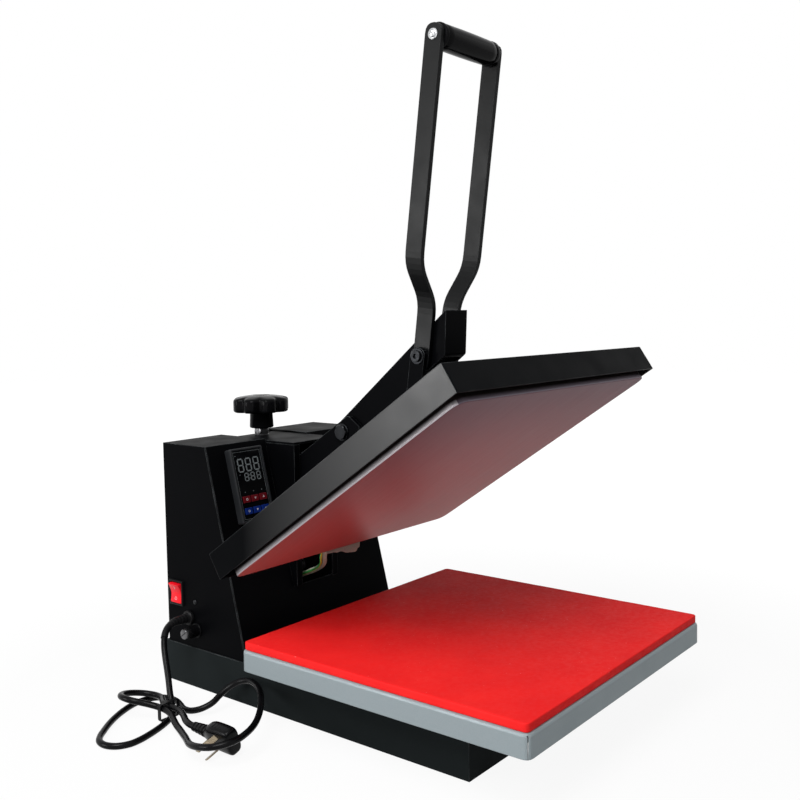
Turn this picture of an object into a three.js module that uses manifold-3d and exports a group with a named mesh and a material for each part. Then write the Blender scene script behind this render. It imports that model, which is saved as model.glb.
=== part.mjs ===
// Clamshell heat press, standing open as it is loaded.
// Millimetres. X to the operator's right, Y from the front to the back, Z up.
// The origin is on the floor, under the middle of the machine.

import * as THREE from 'three';
import { mergeVertices } from 'three/addons/utils/BufferGeometryUtils.js';
import Module from 'manifold-3d';

const wasm = await Module();
wasm.setup();

// Driving dimensions of the frame
const seat = 0.3;
const overrun = 6;

const base = { width: 268, length: 478.5, height: 50, sheet: 2.5 };

const tray = {
  width: 376, length: 374, height: 23.5, lift: 20.5, behind: 54.3, sheet: 2, corner: 8, edge: 3,
};
const rail = { width: 30, wall: 3, spacing: 190, inset: 16.5, depth: 246 };
const pad = { inset: 2, thickness: 9, corner: 5, edge: 1 };

const column = {
  width: 266, height: 254, footFromBack: 153.7, shoulderFromBack: 89, backInset: 6, sheet: 1.5,
  panelSheet: 2,
};
const slot = { sill: 68, halfWidth: 33 };
const box = {
  plate: 4, lead: 142, depth: 116, groove: 2.5, lid: 3, drop: 2, flange: 5.5, flangeSheet: 2, back: 2,
};
const vent = { width: 44, height: 3, pitch: 9, count: 5, fromTop: 36 };
const rivet = { radius: 3, head: 1.4, shank: 1.2, length: 8, back: 54, rise: 58 };

// Driving dimensions of the upper platen, in its own frame: closed, with its origin on the hinge
const hinge = { fromBack: 90, height: 128, pinRadius: 8, headRadius: 12, head: 5 };
const openAngle = 33.7;
const closedGap = 0.5;
const platen = { width: 380, length: 376, thickness: 18.5, corner: 15, edge: 1.5 };
const cover = { margin: 10, height: 31.5, lip: 5.8, sheet: 2, corner: 3, edge: 1 };
const mat = { margin: 6 };
const arm = {
  thickness: 6, offset: 20.5, eye: 15, rise: 30, nose: 35, foot: 4, footWidth: 110, footStart: 118,
  neck: 30, neckDrop: 8, shoulder: 62, shoulderRise: 36, sweep: 20, crook: 10, heel: 4, toe: 2,
  noseCorner: 12, hingeCorner: 8,
};
const linkSeat = { rise: 31.3, pinRadius: 7 };

// Driving dimensions of the toggle and the handle
const leverPin = { aheadOfHinge: 126, height: 319, radius: 7, head: 4.5, headRadius: 10.5 };
const lever = {
  reach: 156, angle: 37.3, halfWidth: 20, plate: 4, eye: 15, lowerEdge: 17, upperEnd: 22, front: 213,
  frontFoot: 180, chamfer: 11, fold: 2,
};
const linkPin = { radius: 7, head: 4, headRadius: 9 };
const link = { width: 20, thickness: 6 };
const sideGap = 0.6;
const bar = {
  width: 22, thickness: 6, leanAngle: 8, tail: 18, lowerBend: 61.6, upperBend: 102.6, upperHalf: 53.8,
  top: 357.3, bendRadius: 14,
};
const grip = { radius: 14.5, fromTop: 12, edge: 2 };
const gripScrew = { radius: 5, head: 4.5, flange: 7.5, flangeThickness: 1.2 };

// Driving dimensions of the pressure adjustment
const knob = {
  radius: 37.5, lobes: 8, groove: 8, thickness: 19, crown: 4, hubRadius: 16, hub: 21.5, edge: 2, bore: 16,
  steps: 96,
};
const rod = { radius: 6, fromBoxBack: 16, foot: 178, collarRadius: 10, collar: 8, collarGap: 1 };
const nut = { acrossFlats: 19, height: 9.5 };
const bracket = {
  plate: 6, offset: 20.7, blockDepth: 27, blockBack: 2, blockFoot: 190, blockHeight: 24, crown: 21,
  ahead: 9.7, nose: 28.5, noseRise: 8, chin: 23, chinDrop: 16, corners: [0, 0, 4, 4, 8, 0],
};

// Driving dimensions of the controls, on the slanted panel and the left side
const bezel = { centre: -80, rise: 207.5, width: 52, height: 93, depth: 10, rim: 3.3 };
const glass = { thickness: 2, sink: 1.5 };
const button = {
  perRow: 3, width: 11, height: 8, pitch: 13.3, redRow: -17.5, blueRow: -32, proud: 1.3, depth: 3.9,
  fit: 0.4,
};
const controller = { depth: 62, margin: 1.2, gap: 1.4 };
const rocker = {
  back: 25, rise: 115, frameWidth: 27, frameHeight: 32, flange: 3, width: 20, height: 25, depth: 20,
  wall: 1.5, tiltAngle: 8, peak: 5, dip: 2.2, root: 8, fit: 0.5,
};
const fuse = {
  back: 62, rise: 73, radius: 7.5, reach: 15, threadRadius: 6, thread: 26, capRadius: 6.3, cap: 6,
  groove: 1.4, grooveDepth: 1.5,
};
const gland = {
  back: 49, rise: 87, radius: 9, collar: 5, neckRadius: 7, neck: 14, tailRadius: 5, thread: 12,
};

// Driving dimensions of the power cord and its plug
const cord = { diameter: 7.2, sides: 8, steps: 78 };
const tie = { width: 5, wall: 1.2, length: 25.2, height: 17.8, corner: 3, x: -213.1, y: 181.5, z: 10.7 };
const plug = {
  length: 42, width: 30, height: 18, corner: 9, edge: 2.5, tail: 24, tailRadius: 4.8, rootRadius: 6.6,
  ribs: 4, ribDepth: 0.8,
};
const prong = {
  length: 18, width: 6.4, thickness: 1.5, seated: 5, slantAngle: 30, side: 6.9, back: 4, earthAhead: 8,
};

// Driving dimensions of the leads between the column and the upper platen
const sleeve = { radius: 3.3, sides: 8, steps: 18, start: -7, end: -42 };
const earthWire = { radius: 1.6, sides: 8, steps: 18, beside: 0.9 };
const leadRoute = { start: 12, dip: 12, slack: 3, rise: 4, sagShare: 1 / 4, dipShare: 3 / 4 };
const flap = { width: 87, drop: 11, hold: 5, thickness: 1.2, offset: -36 };

// Places worked out from the driving dimensions
const machineLength = tray.length + tray.behind + column.footFromBack;
const frontY = -machineLength / 2;
const backY = machineLength / 2;
const trayTop = base.height + tray.lift + tray.height;
const trayBackY = frontY + tray.length;
const trayMiddleY = frontY + tray.length / 2;
const padTop = trayTop + pad.thickness;
const columnTop = base.height + column.height;
const columnBackY = backY - column.backInset;
const panelFootY = backY - column.footFromBack;
const panelShoulderY = backY - column.shoulderFromBack;
const panelSlope = (panelShoulderY - panelFootY) / column.height;
const panelTilt = Math.atan(panelSlope);
const boxHalf = slot.halfWidth + box.plate;
const boxFrontY = backY - box.lead;
const boxBackY = boxFrontY + box.depth;
const boxTop = columnTop - box.drop;
const hingeY = backY - hinge.fromBack;
const leverPinY = hingeY - leverPin.aheadOfHinge;
const rodY = boxBackY - rod.fromBoxBack;
const coverHalf = platen.width / 2 + cover.margin;
const coverLength = platen.length + 2 * cover.margin;
const platenFloor = padTop + closedGap - hinge.height;
const coverFloor = platenFloor + cover.lip;
const coverRoof = coverFloor + cover.height;
const platenMiddle = trayMiddleY - hingeY;
const radians = THREE.MathUtils.degToRad;
const openTurn = -radians(openAngle);
const leverTurn = -radians(lever.angle);
const barLean = radians(bar.leanAngle);
const linkPinY = leverPinY - lever.reach * Math.cos(radians(lever.angle));
const linkPinZ = leverPin.height + lever.reach * Math.sin(radians(lever.angle));
const seatY = hingeY + platenMiddle * Math.cos(openTurn) - linkSeat.rise * Math.sin(openTurn);
const seatZ = hinge.height + platenMiddle * Math.sin(openTurn) + linkSeat.rise * Math.cos(openTurn);
const linkLength = Math.hypot(seatY - linkPinY, seatZ - linkPinZ);
const linkTurn = Math.atan2(seatY - linkPinY, linkPinZ - seatZ);
const barInner = lever.halfWidth + seat;
const linkInner = barInner + bar.thickness + sideGap;
const linkOuter = linkInner + link.thickness;
const roundSides = 24;
const cornerSteps = 4;

function panelY(z) {
  return panelFootY + (z - base.height) * panelSlope;
}

// Shapes
function toSolid(geometry) {
  const bare = geometry.clone();
  bare.deleteAttribute('normal');
  bare.deleteAttribute('uv');
  const merged = mergeVertices(bare);
  return new wasm.Manifold(new wasm.Mesh({
    numProp: 3,
    vertProperties: new Float32Array(merged.attributes.position.array),
    triVerts: new Uint32Array(merged.index.array),
  }));
}

function toGeometry(solid) {
  const mesh = solid.getMesh();
  const geometry = new THREE.BufferGeometry();
  geometry.setAttribute('position', new THREE.BufferAttribute(new Float32Array(mesh.vertProperties), 3));
  geometry.setIndex(new THREE.BufferAttribute(new Uint32Array(mesh.triVerts), 1));
  geometry.computeVertexNormals();
  return geometry;
}

function join(...geometries) {
  return toGeometry(geometries.map(toSolid).reduce((whole, next) => whole.add(next)));
}

function cut(geometry, ...tools) {
  return toGeometry(tools.map(toSolid).reduce((whole, tool) => whole.subtract(tool), toSolid(geometry)));
}

function common(geometry, tool) {
  return toGeometry(toSolid(geometry).intersect(toSolid(tool)));
}

function block(x0, x1, y0, y1, z0, z1) {
  const geometry = new THREE.BoxGeometry(Math.abs(x1 - x0), Math.abs(y1 - y0), Math.abs(z1 - z0));
  return geometry.translate((x0 + x1) / 2, (y0 + y1) / 2, (z0 + z1) / 2);
}

function rodAlongX(radius, x0, x1, y, z, sides = roundSides) {
  const geometry = new THREE.CylinderGeometry(radius, radius, Math.abs(x1 - x0), sides);
  return geometry.rotateZ(Math.PI / 2).translate((x0 + x1) / 2, y, z);
}

function rodAlongZ(radius, z0, z1, x, y, sides = roundSides) {
  const geometry = new THREE.CylinderGeometry(radius, radius, Math.abs(z1 - z0), sides);
  return geometry.rotateX(Math.PI / 2).translate(x, y, (z0 + z1) / 2);
}

// A closed outline whose corners are rounded by the radius given for each
function outline(points, radius = 0) {
  const shape = new THREE.Shape();
  const count = points.length;
  points.forEach(([u, v], i) => {
    const corner = new THREE.Vector2(u, v);
    const before = new THREE.Vector2(...points[(i + count - 1) % count]).sub(corner);
    const after = new THREE.Vector2(...points[(i + 1) % count]).sub(corner);
    const wanted = Array.isArray(radius) ? radius[i] : radius;
    const reach = Math.min(wanted, before.length() / 2, after.length() / 2);
    const start = corner.clone().add(before.setLength(reach));
    const end = corner.clone().add(after.setLength(reach));
    if (i === 0) shape.moveTo(start.x, start.y);
    else shape.lineTo(start.x, start.y);
    if (reach > 0) shape.quadraticCurveTo(u, v, end.x, end.y);
  });
  shape.closePath();
  return shape;
}

function rectangle(u0, u1, v0, v1, radius = 0) {
  return outline([[u0, v0], [u1, v0], [u1, v1], [u0, v1]], radius);
}

function extrude(shape, depth) {
  return new THREE.ExtrudeGeometry(shape, { depth, bevelEnabled: false, curveSegments: cornerSteps });
}

// An outline drawn in Y and Z, extruded along X
function sidePlate(shape, x0, x1) {
  const geometry = extrude(shape, Math.abs(x1 - x0));
  const turn = new THREE.Matrix4().makeBasis(
    new THREE.Vector3(0, 1, 0), new THREE.Vector3(0, 0, 1), new THREE.Vector3(1, 0, 0));
  return geometry.applyMatrix4(turn).translate(Math.min(x0, x1), 0, 0);
}

// An outline drawn in X and Z, extruded along Y
function frontPlate(shape, y0, y1) {
  const geometry = extrude(shape, Math.abs(y1 - y0));
  const turn = new THREE.Matrix4().makeBasis(
    new THREE.Vector3(1, 0, 0), new THREE.Vector3(0, 0, 1), new THREE.Vector3(0, -1, 0));
  return geometry.applyMatrix4(turn).translate(0, Math.max(y0, y1), 0);
}

// A rounded rectangle lying flat, with its top edge eased
function easedSlab(x0, x1, y0, y1, z0, z1, corner, edge) {
  const shape = rectangle(x0, x1, y0, y1, corner);
  const geometry = new THREE.ExtrudeGeometry(shape, {
    depth: z1 - z0, bevelThickness: edge, bevelSize: edge, bevelOffset: -edge, bevelSegments: 2,
    curveSegments: cornerSteps,
  });
  geometry.translate(0, 0, z0 - edge);
  const below = block(x0 - overrun, x1 + overrun, y0 - overrun, y1 + overrun, z0 - overrun - edge, z0);
  return cut(geometry, below);
}

function revolve(profile, sides = roundSides) {
  return new THREE.LatheGeometry(profile.map(([r, h]) => new THREE.Vector2(r, h)), sides);
}

// A pin along X with a head at each end
function headedPin(radius, half, headRadius, head, sides = roundSides) {
  const profile = [
    [0, -half - head], [headRadius, -half - head], [headRadius, -half], [radius, -half],
    [radius, half], [headRadius, half], [headRadius, half + head], [0, half + head],
  ];
  return revolve(profile, sides).rotateZ(-Math.PI / 2);
}

// A tube of round section that follows a smooth curve through points
function tube(points, radius, sides, steps, tension = 0.5) {
  const places = points.map((point) => new THREE.Vector3(...point));
  const path = new THREE.CatmullRomCurve3(places, false, 'centripetal', tension);
  const section = new THREE.Shape();
  for (let i = 0; i < sides; i += 1) {
    const angle = (2 * Math.PI * i) / sides;
    if (i === 0) section.moveTo(radius, 0);
    else section.lineTo(radius * Math.cos(angle), radius * Math.sin(angle));
  }
  section.closePath();
  return new THREE.ExtrudeGeometry(section, { steps, extrudePath: path, curveSegments: 1 });
}

// Finishes
const finishes = {
  blackPaint: [0x17181a, 0.45, 0.2],
  greyPaint: [0x8d9196, 0.42, 0.5],
  silicone: [0xc4151c, 0.62, 0],
  coatedPlate: [0xb9b2ae, 0.3, 0.65],
  glassWool: [0xd9d2bf, 0.95, 0],
  steel: [0xa9abad, 0.3, 1],
  chrome: [0xd7d9db, 0.14, 1],
  blackPlastic: [0x101012, 0.25, 0],
  rubber: [0x141416, 0.6, 0],
  greyPlastic: [0x585c60, 0.5, 0],
  darkGlass: [0x08090b, 0.08, 0],
  redKey: [0xb5141c, 0.4, 0],
  blueKey: [0x14459b, 0.4, 0],
  redRocker: [0xe01226, 0.25, 0],
  earthLead: [0xc9c81e, 0.5, 0],
  brass: [0xc9a24a, 0.3, 1],
};

function material(name) {
  const [color, roughness, metalness] = finishes[name];
  return new THREE.MeshStandardMaterial({ color, roughness, metalness });
}

function add(group, name, geometry, finish) {
  const mesh = new THREE.Mesh(geometry, material(finish));
  mesh.name = name;
  group.add(mesh);
  return mesh;
}

const sides = { left: -1, right: 1 };

// The folded base, a box open below
function makeBase(group) {
  const half = base.width / 2;
  const y0 = backY - base.length;
  const shell = cut(
    block(-half, half, y0, backY, 0, base.height),
    block(
      -half + base.sheet, half - base.sheet, y0 + base.sheet, backY - base.sheet,
      -overrun, base.height - base.sheet,
    ),
  );
  add(group, 'base_channel', shell, 'blackPaint');
}

// Two square tubes on the base carry the tray
function makeRails(group) {
  const y0 = backY - base.length + rail.inset;
  const top = trayTop - tray.sheet;
  for (const [word, side] of Object.entries(sides)) {
    const x = (side * rail.spacing) / 2;
    const half = rail.width / 2;
    const outer = block(x - half, x + half, y0, y0 + rail.depth, base.height, top);
    const bore = block(
      x - half + rail.wall, x + half - rail.wall, y0 - overrun, y0 + rail.depth + overrun,
      base.height + rail.wall, top - rail.wall,
    );
    add(group, `tray_rail_${word}`, cut(outer, bore), 'blackPaint');
  }
}

function makeTray(group) {
  const half = tray.width / 2;
  const z0 = base.height + tray.lift;
  const outer = easedSlab(-half, half, frontY, trayBackY, z0, trayTop, tray.corner, tray.edge);
  const inner = block(
    -half + tray.sheet, half - tray.sheet, frontY + tray.sheet, trayBackY - tray.sheet,
    z0 - overrun, trayTop - tray.sheet,
  );
  add(group, 'lower_tray', cut(outer, inner), 'greyPaint');
  const padHalf = half - pad.inset;
  add(group, 'silicone_pad', easedSlab(
    -padHalf, padHalf, frontY + pad.inset, trayBackY - pad.inset, trayTop, padTop, pad.corner, pad.edge,
  ), 'silicone');
}

// The centre box: two thick plates with turned-in front flanges, a back and a lid
function makeCentreBox(group) {
  const sillZ = base.height + slot.sill;
  const wallTop = boxTop - box.lid;
  const clear = column.panelSheet / Math.cos(panelTilt) + seat;
  const wall = outline([
    [panelY(base.height) + clear, base.height], [boxBackY, base.height], [boxBackY, wallTop],
    [boxFrontY, wallTop], [boxFrontY, sillZ + seat], [panelY(sillZ) + clear, sillZ + seat],
  ]);
  for (const [word, side] of Object.entries(sides)) {
    const plate = sidePlate(wall, side * slot.halfWidth, side * boxHalf);
    const flange = block(
      side * (slot.halfWidth - box.flange), side * (slot.halfWidth + seat),
      boxFrontY, boxFrontY + box.flangeSheet, sillZ + seat, wallTop,
    );
    const pinHole = rodAlongX(
      hinge.pinRadius + seat, side * (slot.halfWidth - overrun), side * (boxHalf + overrun),
      hingeY, hinge.height,
    );
    add(group, `centre_box_${word}`, cut(join(plate, flange), pinHole), 'blackPaint');
  }
  add(group, 'centre_box_back', block(
    -slot.halfWidth + seat, slot.halfWidth - seat, boxBackY - box.back, boxBackY, base.height, wallTop,
  ), 'blackPaint');
  const lid = block(-boxHalf, boxHalf, boxFrontY, boxBackY, wallTop, boxTop);
  const hole = rodAlongZ(rod.radius + seat, wallTop - overrun, boxTop + overrun, 0, rodY);
  add(group, 'centre_box_lid', cut(lid, hole), 'blackPaint');
}

// The slanted sheet across the front, with the slot for the arms and the controller's window
function makeFrontPanel(group) {
  const half = column.width / 2;
  const back = column.panelSheet / Math.cos(panelTilt);
  const profile = outline([
    [panelFootY, base.height], [panelFootY + back, base.height],
    [panelShoulderY + back, columnTop], [panelShoulderY, columnTop],
  ]);
  const notchHalf = boxHalf + seat;
  const notch = block(
    -notchHalf, notchHalf, panelFootY - overrun, panelShoulderY + overrun + back,
    base.height + slot.sill, columnTop + overrun,
  );
  const window = block(
    bezel.centre - bezel.width / 2 + bezel.rim, bezel.centre + bezel.width / 2 - bezel.rim,
    -overrun, overrun, bezel.rise - bezel.height / 2 + bezel.rim, bezel.rise + bezel.height / 2 - bezel.rim,
  );
  window.rotateX(-panelTilt).translate(0, panelFootY, base.height);
  add(group, 'front_panel', cut(sidePlate(profile, -half, half), notch, window), 'blackPaint');
}

// A side cover: outer side, top and back folded from one sheet
function makeCover(group, word, side, openings) {
  const outer = side * (column.width / 2);
  const inner = side * (boxHalf + box.groove);
  const clear = column.panelSheet / Math.cos(panelTilt) + seat;
  const footY = panelY(base.height) + clear;
  const shoulderY = panelY(columnTop) + clear;
  const shape = outline([
    [footY, base.height], [columnBackY, base.height], [columnBackY, columnTop], [shoulderY, columnTop],
  ]);
  const hollow = block(
    outer - side * column.sheet, inner - side * overrun, footY - overrun, columnBackY - column.sheet,
    base.height - overrun, columnTop - column.sheet,
  );
  const slots = [];
  for (let i = 0; i < vent.count; i += 1) {
    const z = columnTop - vent.fromTop - i * vent.pitch;
    const x = (outer + inner) / 2;
    slots.push(block(
      x - vent.width / 2, x + vent.width / 2, columnBackY - overrun, columnBackY + overrun,
      z - vent.height, z,
    ));
  }
  const shell = cut(sidePlate(shape, outer, inner), hollow, ...slots, ...openings);
  add(group, `${word}_cover`, shell, 'blackPaint');
}

function makeCovers(group) {
  const wall = -column.width / 2;
  const through = (y, z, radius) => rodAlongX(radius + seat, wall - overrun, wall + overrun, y, z);
  const rivetY = columnBackY - rivet.back;
  const rivetZ = base.height + rivet.rise;
  const rockerY = backY - rocker.back;
  const rockerHalf = rocker.width / 2 + rocker.wall + seat;
  const rockerTall = rocker.height / 2 + rocker.wall + seat;
  const leftOpenings = [
    through(backY - fuse.back, fuse.rise, fuse.threadRadius),
    through(backY - gland.back, gland.rise, gland.neckRadius),
    block(
      wall - overrun, wall + overrun,
      rockerY - rockerHalf, rockerY + rockerHalf, rocker.rise - rockerTall, rocker.rise + rockerTall,
    ),
    through(rivetY, rivetZ, rivet.shank),
  ];
  const rightHole = rodAlongX(rivet.shank + seat, -wall - overrun, -wall + overrun, rivetY, rivetZ);
  makeCover(group, 'left', sides.left, leftOpenings);
  makeCover(group, 'right', sides.right, [rightHole]);
  for (const [word, side] of Object.entries(sides)) {
    const profile = [
      [0, -rivet.length], [rivet.shank, -rivet.length], [rivet.shank, seat], [rivet.radius, seat],
      [rivet.radius - rivet.head / 2, rivet.head], [0, rivet.head],
    ];
    const screw = revolve(profile, roundSides / 2).rotateZ(-side * Math.PI / 2);
    add(group, `cover_screw_${word}`, screw.translate((side * column.width) / 2, rivetY, rivetZ), 'steel');
  }
}

// The controller on the slanted panel: frame, glass, six keys and the body behind
function makeController(group) {
  const face = new THREE.Group();
  face.position.set(bezel.centre, panelFootY, base.height);
  face.rotation.x = -panelTilt;
  const centre = bezel.rise;
  const half = bezel.width / 2;
  const tall = bezel.height / 2;
  const front = -seat - bezel.depth;
  const holeHalf = half - bezel.rim;
  const holeTall = tall - bezel.rim;
  const frame = cut(
    block(-half, half, front, -seat, centre - tall, centre + tall),
    block(-holeHalf, holeHalf, front - overrun, overrun, centre - holeTall, centre + holeTall),
  );
  add(face, 'controller_bezel', frame, 'greyPlastic');
  const glassFront = front + glass.sink;
  const rows = { red: button.redRow, blue: button.blueRow };
  const keyPlaces = [];
  for (const [colour, row] of Object.entries(rows)) {
    for (let i = 0; i < button.perRow; i += 1) {
      keyPlaces.push([colour, i + 1, (i - (button.perRow - 1) / 2) * button.pitch, centre + row]);
    }
  }
  const keyHole = (x, z) => block(
    x - button.width / 2 - button.fit, x + button.width / 2 + button.fit, glassFront - overrun,
    glassFront + glass.thickness + overrun,
    z - button.height / 2 - button.fit, z + button.height / 2 + button.fit,
  );
  const pane = block(
    -holeHalf + seat, holeHalf - seat, glassFront, glassFront + glass.thickness,
    centre - holeTall + seat, centre + holeTall - seat,
  );
  add(face, 'controller_window', cut(pane, ...keyPlaces.map(([, , x, z]) => keyHole(x, z))), 'darkGlass');
  for (const [colour, index, x, z] of keyPlaces) {
    const key = block(
      x - button.width / 2, x + button.width / 2, glassFront - button.proud,
      glassFront - button.proud + button.depth, z - button.height / 2, z + button.height / 2,
    );
    add(face, `${colour}_key_${index}`, key, `${colour}Key`);
  }
  const bodyFront = glassFront + glass.thickness + controller.gap;
  add(face, 'controller_body', block(
    -holeHalf + controller.margin, holeHalf - controller.margin, bodyFront, bodyFront + controller.depth,
    centre - holeTall + controller.margin, centre + holeTall - controller.margin,
  ), 'greyPlastic');
  group.add(face);
}

// The mains switch: a frame through the side wall and a tilting rocker
function makeSwitch(group) {
  const wall = -column.width / 2;
  const y = backY - rocker.back;
  const z = rocker.rise;
  const flange = block(
    wall - seat - rocker.flange, wall - seat, y - rocker.frameWidth / 2, y + rocker.frameWidth / 2,
    z - rocker.frameHeight / 2, z + rocker.frameHeight / 2,
  );
  const wellHalf = rocker.width / 2 + rocker.wall;
  const wellTall = rocker.height / 2 + rocker.wall;
  const well = block(
    wall - seat - rocker.flange, wall + rocker.depth, y - wellHalf, y + wellHalf, z - wellTall, z + wellTall,
  );
  const pocket = block(
    wall - overrun, wall + rocker.depth - rocker.wall, y - rocker.width / 2 - seat / 2,
    y + rocker.width / 2 + seat / 2, z - rocker.height / 2, z + rocker.height / 2,
  );
  add(group, 'switch_frame', cut(join(flange, well), pocket), 'blackPlastic');
  const pivotX = wall - seat;
  const halfTall = rocker.height / 2 - rocker.fit - rocker.peak * Math.sin(radians(rocker.tiltAngle));
  const shape = outline([
    [-rocker.peak, halfTall], [-rocker.dip, 0], [-rocker.peak, -halfTall], [rocker.root / 2, -halfTall],
    [rocker.root, 0], [rocker.root / 2, halfTall],
  ]);
  const key = frontPlate(shape, -rocker.width / 2 + rocker.fit, rocker.width / 2 - rocker.fit);
  const mesh = add(group, 'switch_rocker', key, 'redRocker');
  mesh.position.set(pivotX, y, z);
  mesh.rotation.y = -radians(rocker.tiltAngle);
}

function makeFuse(group) {
  const wall = -column.width / 2;
  const y = backY - fuse.back;
  const shell = revolve([
    [0, -fuse.thread], [fuse.threadRadius, -fuse.thread], [fuse.threadRadius, seat], [fuse.radius, seat],
    [fuse.radius, fuse.reach], [0, fuse.reach],
  ]).rotateZ(Math.PI / 2);
  add(group, 'fuse_holder', shell.translate(wall, y, fuse.rise), 'blackPlastic');
  const capStart = fuse.reach + seat;
  const cap = rodAlongX(fuse.capRadius, wall - capStart, wall - capStart - fuse.cap, y, fuse.rise);
  const groove = block(
    wall - capStart - fuse.cap - overrun, wall - capStart - fuse.cap + fuse.grooveDepth,
    y - fuse.groove / 2, y + fuse.groove / 2, fuse.rise - fuse.radius, fuse.rise + fuse.radius,
  );
  add(group, 'fuse_cap', cut(cap, groove), 'chrome');
}

// The power cord: points chosen by hand along its route, from the gland to the plug
const cordPoints = [
  [-147.3, 242, 87], [-156.3, 242.1, 87.1], [-168.4, 239.8, 83.4], [-178, 233.8, 76], [-184.3, 226.3, 66.7],
  [-188.6, 218.8, 56.2], [-191.8, 211.8, 45], [-195.1, 205, 33.7], [-198.9, 198.1, 22.6],
  [-202.8, 189.8, 12.7], [-209.4, 179.5, 7.2], [-219.9, 171.1, 5.2], [-232.1, 165.4, 4.3],
  [-244.9, 160.7, 4], [-257.9, 156.8, 4], [-271.2, 154, 4], [-284.6, 154.3, 4], [-296.1, 161.2, 4],
  [-301.7, 173.4, 4], [-299.9, 186.7, 4], [-291.9, 197.6, 4], [-281.7, 206.6, 4], [-271.2, 215.2, 4],
  [-260.2, 223.1, 4], [-248.6, 230.2, 4], [-236.5, 236.3, 4], [-223.8, 241.3, 4], [-210.6, 244, 4],
  [-197.2, 242, 4], [-186.7, 233.8, 4], [-181.8, 221.2, 4], [-182.5, 207.7, 4], [-186.8, 194.9, 4],
  [-191.5, 182.1, 4], [-192, 168.8, 5.3], [-185.8, 157.3, 8.5], [-174.8, 151.2, 13.2],
  [-162.5, 151.4, 18.8], [-151.2, 148.4, 25.2], [-143.2, 139.2, 30.8], [-141, 126.4, 33.9],
  [-144.1, 113.2, 34.9], [-149.5, 100.7, 34.8], [-156.6, 89.2, 33.9], [-164.9, 78.5, 32.9],
  [-174, 68.5, 31.8], [-183.6, 58.9, 30.8], [-193.8, 50.1, 29.8], [-204.8, 42.1, 28.6],
  [-216.6, 35.4, 27.9], [-229.1, 30.3, 27.6], [-242.4, 27.6, 27.1], [-255.4, 30.7, 25.9],
  [-264.9, 40, 23.9], [-268.6, 52.8, 21.6], [-268, 66.1, 19.1], [-264, 78.8, 16.5], [-257.6, 90.5, 14.1],
  [-251, 102.2, 12.2], [-245, 114.4, 10.9], [-239.5, 126.8, 10.4], [-234.6, 139.4, 10.8],
  [-229, 151.8, 11.8], [-223.4, 164, 13.2], [-221.2, 177.4, 14.3], [-223.6, 190.5, 16],
  [-231.2, 201.1, 19.5], [-239.9, 210.8, 23.1], [-243.3, 223.6, 24.4], [-239.2, 236.3, 23],
  [-229, 244.5, 20.1], [-216.1, 245.9, 16.6], [-204.4, 240.1, 13.6], [-197.7, 228.6, 12],
  [-198.3, 215.3, 12], [-205.3, 203.8, 13.3], [-211.7, 192, 14.8], [-213.4, 178.6, 15.4],
  [-213.9, 165, 15.2], [-217.5, 151.9, 15.7], [-223.7, 139.9, 16.5], [-230.4, 128.1, 17.3],
  [-234.7, 115.3, 17.7], [-235, 108.3, 17.7],
];

function makeCord(group) {
  const wall = -column.width / 2;
  const shell = revolve([
    [0, -gland.thread], [gland.neckRadius, -gland.thread], [gland.neckRadius, seat], [gland.radius, seat],
    [gland.radius, gland.collar], [gland.neckRadius, gland.collar + seat],
    [gland.tailRadius, gland.neck], [0, gland.neck],
  ]).rotateZ(Math.PI / 2);
  add(group, 'cable_gland', shell.translate(wall, backY - gland.back, gland.rise), 'blackPlastic');
  add(group, 'power_cord', tube(cordPoints, cord.diameter / 2, cord.sides, cord.steps), 'rubber');
  const halfLength = tie.length / 2;
  const halfHeight = tie.height / 2;
  const ring = rectangle(
    -halfLength - tie.wall, halfLength + tie.wall, -halfHeight - tie.wall, halfHeight + tie.wall,
    tie.corner + tie.wall,
  );
  const opening = rectangle(-halfLength, halfLength, -halfHeight, halfHeight, tie.corner);
  const band = cut(
    frontPlate(ring, -tie.width / 2, tie.width / 2),
    frontPlate(opening, -tie.width / 2 - overrun, tie.width / 2 + overrun),
  );
  add(group, 'cord_tie', band.translate(tie.x, tie.y, tie.z), 'blackPlastic');
}

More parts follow.
